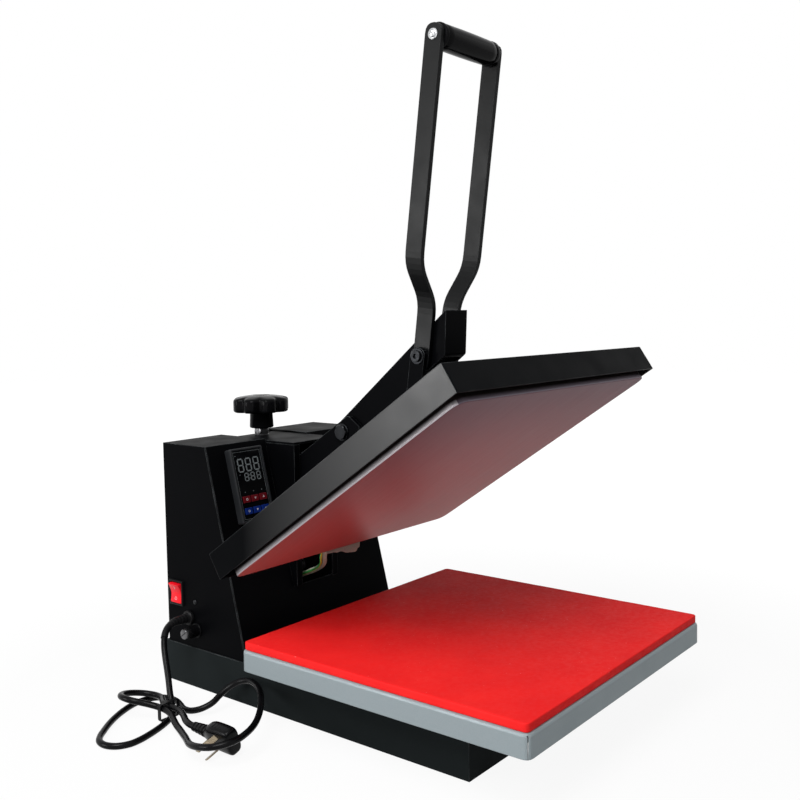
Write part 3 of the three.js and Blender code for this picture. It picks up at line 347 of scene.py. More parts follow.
# %% Silver paint
def silver_paint(color=(0.225, 0.265, 0.28), flake=(0.28, 0.31, 0.33), bare=(0.55, 0.57, 0.58)):
    finish, tree, shader = new_finish("silver_paint", color, 0.42, 0.2, 0.15)
    place = object_place(tree)
    edge, soft = edge_mask(tree, 0.0010)
    flakes = add_node(tree, "ShaderNodeTexVoronoi", {"Vector": place, "Scale": 1500.0})
    flaked = mix_colors(tree, remap(tree, flakes.outputs["Color"], 0, 1, 0, 0.4), color, flake)
    patches = remap(tree, noise_field(tree, place, 60, 3), 0.5, 0.7, 0, 0.6)
    feed(tree, shader, {
        "Base Color": mix_colors(tree, calculate(tree, "MULTIPLY", edge, patches), flaked, bare),
        "Roughness": cloudy(tree, place, 25, 4, 0.36, 0.5)})
    set_bump(tree, shader, noise_field(tree, place, 420, 2), 0.00008, 0.5, soft)
    return finish


silver_coat = silver_paint()

# %% [markdown]
# ## Red silicone sponge
#
# The pad is foamed silicone, cast on cloth: a matt, even red with tiny pores and pale specks
# of dust, because silicone holds lint. The specks come from a cell pattern whose cells are
# mostly empty: only cells whose random value is high get a dot at their middle.

# %% Silicone
def silicone():
    finish, tree, shader = new_finish("red_silicone", (0.72, 0.013, 0.013), 0.62, 0.0, 0.10)
    place = object_place(tree)
    broad = remap(tree, noise_field(tree, place, 14, 4, 0.6), 0.3, 0.7, 0, 1)
    body = mix_colors(tree, broad, (0.68, 0.0110, 0.0120), (0.76, 0.0165, 0.0155))
    cells = add_node(tree, "ShaderNodeTexVoronoi", {"Vector": place, "Scale": 260.0})
    dot = remap(tree, cells.outputs["Distance"], 0.10, 0.16, 1, 0)
    chosen = remap(tree, cells.outputs["Color"], 0.86, 0.9, 0, 0.55)
    lint = calculate(tree, "MULTIPLY", dot, chosen)
    feed(tree, shader, {
        "Base Color": mix_colors(tree, lint, body, (0.85, 0.35, 0.33)),
        "Roughness": cloudy(tree, place, 200, 3, 0.55, 0.72)})
    set_bump(tree, shader, noise_field(tree, place, 1700, 2, 0.6), 0.00012, 0.6)
    return finish


red_silicone = silicone()

# %% [markdown]
# ## The coated heating plate
#
# The plate is cast aluminium, ground flat and sprayed with a thin non-stick coat. It is
# satin, so it mirrors the red pad softly, and stretched noise leaves faint marks where it
# was ground and wiped. Its colour also holds a painted reflection of the pad, redder towards
# the rear. The milled rim is bare; it is painted lighter where it faces the side and darker
# where it faces the front, and painted dark at its root for the shade of the gap under the cover.

# %% Coated aluminium
def coated_aluminium(painted_shade_root=0.0062, rim_top=0.0038):
    """Coated on its flat face, with a painted reflection of the pad; the bare milled rim has painted light on
    its side faces, painted shade on its front faces and at its root.
    """
    finish, tree, shader = new_finish("coated_aluminium", (0.152, 0.066, 0.069), 0.36, 0.15, 0.01)
    place = object_place(tree)
    down, rearward = Vector((0, -0.555, -0.832)), Vector((0, 0.832, -0.555))
    corners = [vertex.co for vertex in nodes["heating_plate"].data.vertices]
    face_level = max(co.dot(down) for co in corners)
    front, rear = min(co.dot(rearward) for co in corners), max(co.dot(rearward) for co in corners)
    # The colour runs from grey-violet at the front to red at the rear: a painted reflection of the red pad
    # below.
    run = remap(tree, reach_along(tree, place, rearward), front, rear, 0, 1)
    painted_pad_reflection = mix_colors(tree, run, (0.140, 0.077, 0.096), (0.56, 0.16, 0.145))
    tone = mix_colors(tree, cloudy(tree, place, 4, 2, 0, 0.12), painted_pad_reflection, (0.20, 0.10, 0.10))
    level = reach_along(tree, place, down)
    # The rim's root, next to the cover, is painted dark: painted shade of the gap under the cover.
    rim = remap(tree, level, face_level - painted_shade_root, face_level - rim_top, 0, 1)
    # The rim gets painted light where it faces the side and painted shade where it faces the front.
    bare = mix_colors(tree, facing(tree, (1, 0, 0)), (0.10, 0.082, 0.10), (0.46, 0.43, 0.45))
    side = mix_colors(tree, rim, (0.022, 0.016, 0.015), bare)
    flat = facing(tree, down)
    streaks = noise_field(tree, place, 40, 3, 0.5, stretch=(7, 0.3, 0.3))
    feed(tree, shader, {
        "Base Color": mix_colors(tree, flat, side, tone), "Metallic": remap(tree, flat, 0, 1, 0.75, 0.14),
        "Roughness": remap(tree, streaks, 0.3, 0.7, 0.33, 0.39)})
    set_bump(tree, shader, noise_field(tree, place, 900, 2), 0.00002, 0.35)
    return finish


plate_coat = coated_aluminium()

# %% [markdown]
# ## Metals
#
# The pins and nuts are zinc-plated steel, the bright heads are chromed, and the plug's
# blades are plated brass. One function makes every plain metal: it is fully metallic, so
# only its colour, its roughness and the scale of its marks change.

# %% Metals
def plain_metal(name, color, low, high, marks, depth):
    finish, tree, shader = new_finish(name, color, (low + high) / 2, 1.0, 0.5)
    place = object_place(tree)
    cloud = noise_field(tree, place, marks, 4, 0.6)
    stains = remap(tree, noise_field(tree, place, marks / 3, 3), 0.35, 0.65, 0, 1)
    feed(tree, shader, {
        "Base Color": mix_colors(tree, stains, color, tuple(c * 0.72 for c in color)),
        "Roughness": remap(tree, cloud, 0.3, 0.7, low, high)})
    set_bump(tree, shader, cloud, depth, 0.4)
    return finish


zinc = plain_metal("zinc_steel", (0.50, 0.51, 0.52), 0.22, 0.42, 350, 0.00003)
chrome = plain_metal("bright_chrome", (0.78, 0.79, 0.80), 0.06, 0.18, 260, 0.00001)
brass = plain_metal("plated_brass", (0.36, 0.30, 0.21), 0.20, 0.38, 320, 0.00002)
print("metals", zinc.name, chrome.name, brass.name)

# %% [markdown]
# ## Moulded plastics
#
# Plastics differ in gloss and in the texture cut into their mould. The knob and the grip are
# glossy black, the controller's frame is matt grey, the switch is smooth. Fine scratches are
# left out at this size: a soft drift of the roughness is what the eye reads.

# %% Plastics
def moulded(name, color, low, high, texture=900, depth=0.00002, specular=0.5):
    finish, tree, shader = new_finish(name, color, (low + high) / 2, 0.0, specular)
    place = object_place(tree)
    lighter = tuple(min(1, c * 1.25 + 0.002) for c in color)
    drift = remap(tree, noise_field(tree, place, 25, 2), 0.35, 0.7, 0, 1)
    feed(tree, shader, {
        "Base Color": mix_colors(tree, drift, color, lighter),
        "Roughness": cloudy(tree, place, 70, 3, low, high)})
    set_bump(tree, shader, noise_field(tree, place, texture, 2), depth, 0.5)
    return finish


gloss_black = moulded("gloss_black_plastic", (0.0020, 0.0020, 0.0024), 0.12, 0.20, specular=0.04)
satin_black = moulded("satin_black_plastic", (0.003, 0.003, 0.0034), 0.32, 0.46, depth=0.00004, specular=0.10)
flex_black = moulded("black_flex", (0.0014, 0.0014, 0.0018), 0.20, 0.30, texture=1400, specular=0.09)
frame_grey = moulded("grey_plastic", (0.009, 0.010, 0.0115), 0.42, 0.55, depth=0.00005, specular=0.2)
key_red = moulded("red_key_plastic", (0.085, 0.003, 0.006), 0.36, 0.48, specular=0.08)
key_blue = moulded("blue_key_plastic", (0.002, 0.014, 0.12), 0.36, 0.48, specular=0.08)
window_dark = moulded("tinted_window", (0.0012, 0.0014, 0.0018), 0.08, 0.14, depth=0.000004, specular=0.07)
rocker_red = moulded("rocker_red_plastic", (0.68, 0.006, 0.014), 0.16, 0.26, specular=0.15)
print("plastics ready")

# %% [markdown]
# ## Glass cloth
#
# The mat, the flap and the sleeve are woven glass fibre. A plain weave is two wave patterns
# at right angles, each hiding where the other passes over. On the mat it reads the Object
# coordinates; the sleeve has a UV map of its own, later on.

# %% Glass cloth
def woven(name, color, pitch, from_uv=False, turn=0.0):
    finish, tree, shader = new_finish(name, color, 0.85, 0.0, 0.3)
    if from_uv:
        place = add_node(tree, "ShaderNodeUVMap", uv_map="run").outputs["UV"]
    else:
        place = object_place(tree)
    turned = add_node(tree, "ShaderNodeMapping", {"Vector": place, "Rotation": (0, 0, turn)})
    threads = {"Vector": turned.outputs["Vector"], "Scale": 0.5 / pitch, "Distortion": 0.6}
    warp, weft = (add_node(tree, "ShaderNodeTexWave", threads, bands_direction=way).outputs["Fac"]
                  for way in "XY")
    weave = calculate(tree, "MULTIPLY", warp, weft)
    shade = tuple(c * 0.62 for c in color)
    feed(tree, shader, {"Base Color": mix_colors(tree, remap(tree, weave, 0, 0.8, 1, 0), color, shade)})
    set_bump(tree, shader, weave, 0.0002, 0.8)
    return finish


glass_cloth = woven("glass_cloth", (0.62, 0.59, 0.50), 0.0011)

# %% [markdown]
# ## Dress the solids
#
# A solid whose shape is already right keeps it and only takes a finish. The table below says
# which, and the loop prints how many were dressed.

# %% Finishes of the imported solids
dressed = {
    base_coat: ["base_channel"],
    black_coat: [
        "tray_rail_left", "tray_rail_right", "centre_box_left", "centre_box_right",
        "centre_box_back", "centre_box_lid", "front_panel", "left_cover", "right_cover", "adjusting_bracket",
        "lever", "link_left", "link_right", "platen_yoke",
    ],
    platen_coat: ["upper_cover"],
    handle_coat: ["handle_bar_left", "handle_bar_right"],
    silver_coat: ["lower_tray"],
    red_silicone: ["silicone_pad"],
    plate_coat: ["heating_plate"],
    glass_cloth: ["insulation_mat", "cloth_flap", "glass_sleeve"],
    zinc: ["cover_screw_left", "cover_screw_right", "adjusting_rod", "lock_nut", "lever_pin",
           "lever_link_pin", "main_hinge_pin"],
    chrome: ["fuse_cap", "grip_screw_left", "grip_screw_right", "link_bolt_left", "link_bolt_right",
             "platen_link_pin"],
    gloss_black: ["fuse_holder", "cable_gland", "pressure_knob", "handle_grip"],
    satin_black: ["switch_frame", "cord_tie"],
    flex_black: ["power_cord", "plug_body"],
    frame_grey: ["controller_bezel", "controller_body"],
    window_dark: ["controller_window"],
    key_red: ["red_key_1", "red_key_2", "red_key_3"],
    key_blue: ["blue_key_1", "blue_key_2", "blue_key_3"],
    rocker_red: ["switch_rocker"],
    brass: ["plug_prong_line", "plug_prong_neutral", "plug_prong_earth"],
}
for finish, names in dressed.items():
    for name in names:
        nodes[name].data.materials.clear()
        nodes[name].data.materials.append(finish)
left_plain = sorted(set(nodes) - {name for names in dressed.values() for name in names} - {"earth_wire"})
print("dressed", sum(len(names) for names in dressed.values()), "left plain", left_plain)

# %% [markdown]
# ## Small tools for making pieces
#
# Every new piece is drawn in a bmesh, which is Blender's own mesh workshop, and then handed
# over by one function. It turns the faces outwards, keeps sharp edges sharp and round ones
# smooth, and says which body of the press carries the piece and which solid it stands for.

# %% Hand a mesh over as a finished piece
MM = 0.001


def mm(*rows):
    """Tuples of millimetres, turned into metres."""
    return [tuple(value * MM for value in row) for row in rows]


def middle(node):
    low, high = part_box(node)
    return (low + high) / 2


def hand_over(name, bm, finish, body, replaces=(), sharp=35):
    bmesh.ops.recalc_face_normals(bm, faces=bm.faces)
    return adopt(put_in_scene(name, to_mesh(name, bm)), finish, body, replaces, sharp)


def adopt(piece, finish, body, replaces=(), sharp=35):
    """Gives an object its finish and its place on the press."""
    mesh = piece.data
    mesh.polygons.foreach_set("use_smooth", [True] * len(mesh.polygons))
    mesh.set_sharp_from_angle(angle=math.radians(sharp))
    mesh.materials.clear()
    mesh.materials.append(finish)
    if body:
        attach(piece, body)
    if replaces:
        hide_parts(*replaces)
    return piece


print("pieces are handed over by name")

# %% [markdown]
# Three ways of drawing cover nearly all the hardware here. A lathe turns a profile about an
# axis, a prism pushes an outline along one, and a box gets its edges rounded. What is left
# joins rings of points into a skin, as the prism does. Each can be placed with a matrix
# while it is drawn, so the finished object itself never moves.

# %% Rings, skin, lathe, prism and rounded box
def round_angles(count):
    return [2 * math.pi * i / count for i in range(count)]


def ring(bm, reach, height, sides, place=Matrix()):
    """Points round Z at one height; reach tells the radius at each angle."""
    return [bm.verts.new(place @ Vector((reach(a) * math.cos(a), reach(a) * math.sin(a), height)))
            for a in round_angles(sides)]


def skin(bm, rings, wrap=False):
    """Joins rings of as many points each. The ends are closed, unless the skin wraps round."""
    for lower, upper in zip(rings, rings[1:] + (rings[:1] if wrap else [])):
        for i in range(len(lower)):
            j = (i + 1) % len(lower)
            bm.faces.new([lower[i], lower[j], upper[j], upper[i]])
    if not wrap:
        bm.faces.new(rings[0][::-1])
        bm.faces.new(rings[-1])


def lathe(bm, profile, sides=32, place=Matrix()):
    """Turns (radius, height) points about Z; a point at radius 0 closes the end."""
    rings = [ring(bm, lambda angle: radius, height, sides if radius > 1e-7 else 1, place)
             for radius, height in profile]
    for low, high in zip(rings, rings[1:]):
        for i in range(sides):
            j = (i + 1) % sides
            corners = [low[i % len(low)], low[j % len(low)], high[j % len(high)], high[i % len(high)]]
            corners = list(dict.fromkeys(corners))
            if len(corners) > 2:
                bm.faces.new(corners)


def prism(bm, points, low, high, place=Matrix()):
    """Pushes a closed outline of (x, y) points from one height to another."""
    skin(bm, [[bm.verts.new(place @ Vector((x, y, z))) for x, y in points] for z in (low, high)])


def rounded_box(bm, low, high, radius, segments=3, place=Matrix()):
    """A box with rounded edges, drawn apart so that the bevel meets nothing else."""
    block = bmesh.new()
    bmesh.ops.create_cube(block, size=1)
    for vertex in block.verts:
        vertex.co = Vector([low[k] + (vertex.co[k] + 0.5) * (high[k] - low[k]) for k in range(3)])
    if radius > 0:
        bmesh.ops.bevel(block, geom=block.edges[:], offset=radius, segments=segments, profile=0.5,
                        affect="EDGES")
    bmesh.ops.transform(block, matrix=place, verts=block.verts)
    lump = to_mesh("lump", block)
    bm.from_mesh(lump)
    bpy.data.meshes.remove(lump)


def rectangle(half_x, half_y):
    return [(-half_x, -half_y), (half_x, -half_y), (half_x, half_y), (-half_x, half_y)]


def rounded_outline(corners, radii, steps=6):
    """Rounds each corner of an outline with an arc-like curve."""
    points = []
    count = len(corners)
    for i, (x, y) in enumerate(corners):
        corner = Vector((x, y))
        radius = radii[i] if isinstance(radii, (list, tuple)) else radii
        before = Vector(corners[i - 1]) - corner
        after = Vector(corners[(i + 1) % count]) - corner
        reach = min(radius, before.length / 2, after.length / 2)
        if reach < 1e-7:
            points.append((x, y))
            continue
        start = corner + before.normalized() * reach
        end = corner + after.normalized() * reach
        for k in range(steps + 1):
            t = k / steps
            point = start * (1 - t) ** 2 + corner * (2 * t * (1 - t)) + end * t * t
            points.append((point.x, point.y))
    return points


ALONG_X = Matrix.Rotation(math.radians(90), 4, "Y")
print("lathe, prism and box ready")

# %% [markdown]
# ## Lines that bend
#
# Cords and leads are tubes drawn along a line. The line passes smoothly through a few
# points, with the same centripetal Catmull-Rom rule as the CAD model, and the tube's ring is
# carried along it without twisting. A UV map called run measures metres round and along the
# tube, so a braid or a stripe follows every bend.

# %% Smooth lines and tubes
def smooth_line(points, steps=8):
    points = [Vector(p) for p in points]
    padded = [points[0] * 2 - points[1]] + points + [points[-1] * 2 - points[-2]]
    line = []
    for a, b, c, d in zip(padded, padded[1:], padded[2:], padded[3:]):
        da, db, dc = ((q - p).length ** 0.5 for p, q in ((a, b), (b, c), (c, d)))
        leave = ((b - a) / da - (c - a) / (da + db) + (c - b) / db) * db
        reach = ((c - b) / db - (d - b) / (db + dc) + (d - c) / dc) * db
        for k in range(steps):
            t = k / steps
            line.append(b * (2 * t ** 3 - 3 * t ** 2 + 1) + leave * (t ** 3 - 2 * t ** 2 + t)
                        + c * (3 * t ** 2 - 2 * t ** 3) + reach * (t ** 3 - t ** 2))
    line.append(points[-1])
    return line


def line_length(line):
    return sum((b - a).length for a, b in zip(line, line[1:]))


def tube(bm, line, radius, sides=16):
    """radius is a length, or a function of the distance run along the line."""
    uv = bm.loops.layers.uv.verify()
    tangent = (line[1] - line[0]).normalized()
    side = tangent.orthogonal().normalized()
    rings, runs, sizes, run = [], [], [], 0.0
    for i, point in enumerate(line):
        new_tangent = (line[min(i + 1, len(line) - 1)] - line[max(i - 1, 0)]).normalized()
        side = (tangent.rotation_difference(new_tangent) @ side).normalized()
        tangent = new_tangent
        other = tangent.cross(side)
        if i:
            run += (point - line[i - 1]).length
        size = radius(run) if callable(radius) else radius
        rings.append([bm.verts.new(point + (side * math.cos(a) + other * math.sin(a)) * size)
                      for a in round_angles(sides)])
        runs.append(run)
        sizes.append(size)
    for i in range(len(line) - 1):
        for k in range(sides):
            j = (k + 1) % sides
            face = bm.faces.new([rings[i][k], rings[i][j], rings[i + 1][j], rings[i + 1][k]])
            here, there = (2 * math.pi * sizes[i] * step / sides for step in (k, k + 1))
            corners = ((here, runs[i]), (there, runs[i]), (there, runs[i + 1]), (here, runs[i + 1]))
            for loop, value in zip(face.loops, corners):
                loop[uv].uv = value
    bm.faces.new(rings[0][::-1])
    bm.faces.new(rings[-1])


def name_run_map(piece):
    piece.data.uv_layers[0].name = "run"


print("lines ready")

# %% [markdown]
# ## The power cord
#
# About 1.1 metres of round black flex show from end to end: it drops from the gland on the
# left side, is doubled into three loops held by a tie, and ends in its plug. It is modelled
# at that length. A flex of seven millimetres is stiff, so its loops are wide, and all of it
# lies on the bench or on itself.

# %% Cord
cord_route = [
    (-147.3, 242, 87), (-156.3, 242.1, 87.1), (-168.4, 239.8, 83.4), (-178, 233.8, 76), (-184.3, 226.3, 66.7),
    (-188.6, 218.8, 56.2), (-191.8, 211.8, 45), (-195.1, 205, 33.7), (-198.9, 198.1, 22.6),
    (-202.8, 189.8, 12.7), (-209.4, 179.5, 7.2), (-219.9, 171.1, 5.2), (-232.1, 165.4, 4.3), (-244.9, 160.7, 4),
    (-257.9, 156.8, 4), (-271.2, 154, 4), (-284.6, 154.3, 4), (-296.1, 161.2, 4), (-301.7, 173.4, 4),
    (-299.9, 186.7, 4), (-291.9, 197.6, 4), (-281.7, 206.6, 4), (-271.2, 215.2, 4), (-260.2, 223.1, 4),
    (-248.6, 230.2, 4), (-236.5, 236.3, 4), (-223.8, 241.3, 4), (-210.6, 244, 4), (-197.2, 242, 4),
    (-186.7, 233.8, 4), (-181.8, 221.2, 4), (-182.5, 207.7, 4), (-186.8, 194.9, 4), (-191.5, 182.1, 4),
    (-192, 168.8, 5.3), (-185.8, 157.3, 8.5), (-174.8, 151.2, 13.2), (-162.5, 151.4, 18.8),
    (-151.2, 148.4, 25.2), (-143.2, 139.2, 30.8), (-141, 126.4, 33.9), (-144.1, 113.2, 34.9),
    (-149.5, 100.7, 34.8), (-156.6, 89.2, 33.9), (-164.9, 78.5, 32.9), (-174, 68.5, 31.8), (-183.6, 58.9, 30.8),
    (-193.8, 50.1, 29.8), (-204.8, 42.1, 28.6), (-216.6, 35.4, 27.9), (-229.1, 30.3, 27.6),
    (-242.4, 27.6, 27.1), (-255.4, 30.7, 25.9), (-264.9, 40, 23.9), (-268.6, 52.8, 21.6), (-268, 66.1, 19.1),
    (-264, 78.8, 16.5), (-257.6, 90.5, 14.1), (-251, 102.2, 12.2), (-245, 114.4, 10.9), (-239.5, 126.8, 10.4),
    (-234.6, 139.4, 10.8), (-229, 151.8, 11.8), (-223.4, 164, 13.2), (-221.2, 177.4, 14.3), (-223.6, 190.5, 16),
    (-231.2, 201.1, 19.5), (-239.9, 210.8, 23.1), (-243.3, 223.6, 24.4), (-239.2, 236.3, 23),
    (-229, 244.5, 20.1), (-216.1, 245.9, 16.6), (-204.4, 240.1, 13.6), (-197.7, 228.6, 12), (-198.3, 215.3, 12),
    (-205.3, 203.8, 13.3), (-211.7, 192, 14.8), (-213.4, 178.6, 15.4), (-213.9, 165, 15.2),
    (-217.5, 151.9, 15.7), (-223.7, 139.9, 16.5), (-230.4, 128.1, 17.3), (-234.7, 115.3, 17.7),
    (-235, 108.3, 17.7),
]
cord_radius = 3.6 * MM
cord_line = smooth_line([Vector(p) * MM for p in cord_route])


def make_cord():
    bm = bmesh.new()
    tube(bm, cord_line, cord_radius, sides=18)
    cord = hand_over("mains_flex", bm, flex_black, "frame", ["power_cord"], sharp=60)
    name_run_map(cord)
    return cord


mains_flex = make_cord()
print("cord length", round(line_length(cord_line), 3), "m")

# %% [markdown]
# ## The gland and its strain relief
#
# Where the flex leaves the cover, a gland clamps it, and a tapered boot keeps it from
# kinking. The boot is moulded with rings so that it can bend. It is the same tube function
# again, with a radius that falls along the way and dips between the rings.

# %% Gland and boot
cover_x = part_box("left_cover")[0].x


def out_of_left_cover(node):
    """A frame on the left cover, level with a node's middle, whose +Z points out to the left."""
    point = middle(node)
    return Matrix.Translation((cover_x, point.y, point.z)) @ Matrix.Rotation(math.radians(-90), 4, "Y")


GLAND = out_of_left_cover("cable_gland")
boot_length, boot_root, boot_tip = 30 * MM, 6.4, 4.3
ring_pitch, ring_groove = 4.2 * MM, 0.55 * MM


def boot_radius(run):
    """The boot's taper, with a groove between each two rings, except near its end."""
    share = min(1, run / boot_length)
    size = (boot_root + (boot_tip - boot_root) * share) * MM
    in_groove = math.cos(2 * math.pi * run / ring_pitch) < -0.25 and share < 0.93
    return size - (ring_groove if in_groove else 0)


def make_gland():
    bm = bmesh.new()
    lathe(bm, mm((0, -11), (6.8, -11), (6.8, 0.3), (8.4, 0.3), (9, 0.9), (9, 3.8), (8.3, 4.7), (7, 5.1),
                 (6.6, 6.5), (0, 6.5)), 36, GLAND)
    start, outward = GLAND @ Vector((0, 0, 5.5 * MM)), Vector((-5 * MM, 0, 0))
    first_bend = cord_line[:26:5]
    boot_line = smooth_line([start, start + outward] + first_bend, 16)
    tube(bm, boot_line, boot_radius, sides=24)
    return hand_over("gland_and_boot", bm, satin_black, "frame", ["cable_gland"], sharp=28)


make_gland()
print("boot from", [round(v * 1000) for v in GLAND.translation])

# %% [markdown]
# ## The plug
#
# A rewirable plug is screwed together, but this one is moulded onto the flex: one smooth
# body that swells over the pins and narrows into a ribbed tail. Its shape is a row of
# rounded sections, joined into one skin. The plug lies tilted, on its pins and one edge, so
# everything is drawn level first and then placed with the tilt that the CAD model worked out.

# %% Plug body
plug_height, plug_half_width, plug_middle = 18, 15, 45.3
blade_width, blade_thickness, blade_x, blade_slant = 6.4, 1.5, 6.9, math.radians(30)
blade_reach = (blade_width * math.sin(blade_slant) + blade_thickness * math.cos(blade_slant)) / 2
plug_tilt = math.atan2(plug_height, plug_half_width - blade_x - blade_reach)
plug_end = cord_line[-1]
PLUG = Matrix.Translation((
    plug_end.x - plug_height / 2 * MM * math.sin(plug_tilt), plug_end.y - plug_middle * MM,
    plug_end.z - plug_height / 2 * MM * math.cos(plug_tilt))) @ Matrix.Rotation(plug_tilt, 4, "Y")


def section(width, low, high, power, count=40):
    """A rounded section: power 2 is an ellipse, and more is squarer."""
    level, half = (low + high) / 2, (high - low) / 2
    points = []
    for angle in round_angles(count):
        c, s = math.cos(angle), math.sin(angle)
        points.append((width * math.copysign(abs(c) ** (2 / power), c),
                       level + half * math.copysign(abs(s) ** (2 / power), s)))
    return points


def loft(bm, rows, place):
    """Joins sections, each at its own y, into one closed skin."""
    skin(bm, [[bm.verts.new(place @ Vector((x * MM, y * MM, z * MM))) for x, z in points]
              for y, points in rows])


plug_sections = [
    (-21, 11.8, 2.4, 14.6), (-20.7, 13.2, 1.2, 15.8), (-19.6, 14.4, 0.4, 16.9), (-17.5, 14.9, 0.1, 17.5),
    (-12, 15, 0, 17.9), (-4, 15, 0, 18), (4, 14.8, 0, 18), (9, 14.2, 0.2, 17.8), (13.5, 12.6, 0.9, 17.2),
    (17, 10.3, 1.9, 16.4), (19.5, 8.4, 2.5, 15.7), (21, 7.2, 2.7, 15.3), (22.4, 6.7, 2.8, 15.2),
]
tail_start, tail_end, tail_ribs, rib_pitch = 22.4, 45, 4, 5.6
tail_rows = []
for index in range(tail_ribs):
    start, radius = tail_start + index * rib_pitch, 6.6 - 0.45 * index
    tail_rows += [(start + 0.2, radius), (start + 0.9, radius - 1), (start + 2.2, radius - 1),
                  (start + 2.9, radius - 0.1), (start + 5.2, radius - 0.35)]


def make_plug():
    bm = bmesh.new()
    rows = [(y, section(w, low, high, 3.4 if y < 14 else 2.5)) for y, w, low, high in plug_sections]
    axis = plug_height / 2
    rows += [(min(y, tail_end), section(r, axis - r, axis + r, 2)) for y, r in tail_rows]
    loft(bm, rows, PLUG)
    for x in (-14.1, 14.1):
        for y in (-8 + 4.2 * i for i in range(4)):
            rounded_box(bm, *mm((x - 0.9, y - 0.7, 5), (x + 0.9, y + 0.7, 13)), 0.45 * MM, 2, PLUG)
    return hand_over("moulded_plug", bm, flex_black, "frame", ["plug_body"], sharp=40)


moulded_plug = make_plug()
print("plug tilt", round(math.degrees(plug_tilt), 1))

# %% [markdown]
# Two of the three flat blades are slanted. Each has eased edges and a rounded tip. Their
# outline is drawn once, and turned into place three times.

# %% Blades
def make_blades():
    blade_places = {
        "line": (-blade_x, -4, blade_slant), "neutral": (blade_x, -4, -blade_slant), "earth": (0, 8, 0)}
    half, tip, root = blade_width / 2, -18, 4
    points = rounded_outline(mm((-half, tip), (half, tip), (half, root), (-half, root)),
                             [1.4 * MM, 1.4 * MM, 0, 0], 4)
    stand_up = Matrix(((0, 0, 1, 0), (1, 0, 0, 0), (0, 1, 0, 0), (0, 0, 0, 1)))
    blades = []
    for name, (x, y, turn) in blade_places.items():
        bm = bmesh.new()
        place = PLUG @ Matrix.Translation((x * MM, y * MM, 0)) @ Matrix.Rotation(turn, 4, "Z")
        prism(bm, points, -blade_thickness / 2 * MM, blade_thickness / 2 * MM, place @ stand_up)
        sharp_edges = [edge for edge in bm.edges if edge.calc_face_angle(0) > 1]
        bmesh.ops.bevel(bm, geom=sharp_edges, offset=0.25 * MM, segments=2, profile=0.5, affect="EDGES")
        blades.append(hand_over(f"plug_blade_{name}", bm, brass, "frame", [f"plug_prong_{name}"]))
    return blades


plug_blades = make_blades()
print("blades", len(plug_blades))

# %% [markdown]
# The tie is a soft plastic strap. It holds three runs of the flex together, so it is a flat
# band round a rounded rectangle.

# %% Tie
def make_tie(wall=1.15 * MM, half_width=2.5 * MM, ease=0.3 * MM):
    bm = bmesh.new()
    low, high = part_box("cord_tie")
    half_x, half_z = (high.x - low.x) / 2, (high.z - low.z) / 2
    upright = Matrix.Translation(middle("cord_tie")) @ Matrix.Rotation(math.radians(90), 4, "X")
    outer = rounded_outline(rectangle(half_x, half_z), 4.2 * MM, 8)
    inner = rounded_outline(rectangle(half_x - wall, half_z - wall), 3.1 * MM, 8)
    rows = ((outer, ease - half_width), (outer, half_width - ease), (inner, half_width), (inner, -half_width))
    skin(bm, [[bm.verts.new(upright @ Vector((x, y, height))) for x, y in points] for points, height in rows],
         wrap=True)
    return hand_over("tie_band", bm, satin_black, "frame", ["cord_tie"])


tie_band = make_tie()

# %% [markdown]
# ## The silicone pad
#
# The pad is nine millimetres of silicone sponge, glued flat to the tray. It is soft, but
# nothing pulls it in, so it stays a slab: its corners are rounded when it is cut, its edges
# are eased by the blade, and its top is only as even as the casting. Its skin is a stack of
# rings that roll over the rim and close in on the middle, with a third of a millimetre of
# waviness.

# %% Pad
def outline(half_x, half_y, radius, count=8):
    """A rounded rectangle with a fixed number of points, so that two of them can be joined."""
    points = []
    for quarter, (sx, sy) in enumerate(((1, 1), (-1, 1), (-1, -1), (1, -1))):
        for k in range(count + 1):
            angle = math.pi / 2 * (quarter + k / count)
            points.append(Vector((sx * (half_x - radius) + radius * math.cos(angle),
                                  sy * (half_y - radius) + radius * math.sin(angle))))
    return points


def pad_contour(half, corner, inset, along=44, round_steps=10):
    """Points round the pad's outline, drawn in by inset, with its straight sides divided too."""
    arcs = outline(half.x - inset, half.y - inset, max(corner - inset, 1 * MM), round_steps)
    points = []
    for first in range(0, len(arcs), round_steps + 1):
        arc = arcs[first:first + round_steps + 1]
        following = arcs[(first + round_steps + 1) % len(arcs)]
        points += arc + [arc[-1].lerp(following, k / along) for k in range(1, along)]
    return points


def pad_profile(low, high, half, ease, steps=26):
    """(inset, height) rows: up over the lower edge, the side and the upper edge, then inwards."""
    under, over = ([math.pi / 2 * k / count for k in range(count + 1)] for count in (4, 5))
    rows = [(ease * (1 - math.sin(a)), low + ease * (1 - math.cos(a))) for a in under]
    rows += [(0, (low + high) / 2)]
    rows += [(ease * (1 - math.cos(a)), high - ease + ease * math.sin(a)) for a in over]
    reach = half.y - ease - 14 * MM
    return rows + [(ease + reach * (k / steps) ** 1.3, high) for k in range(1, steps + 1)]


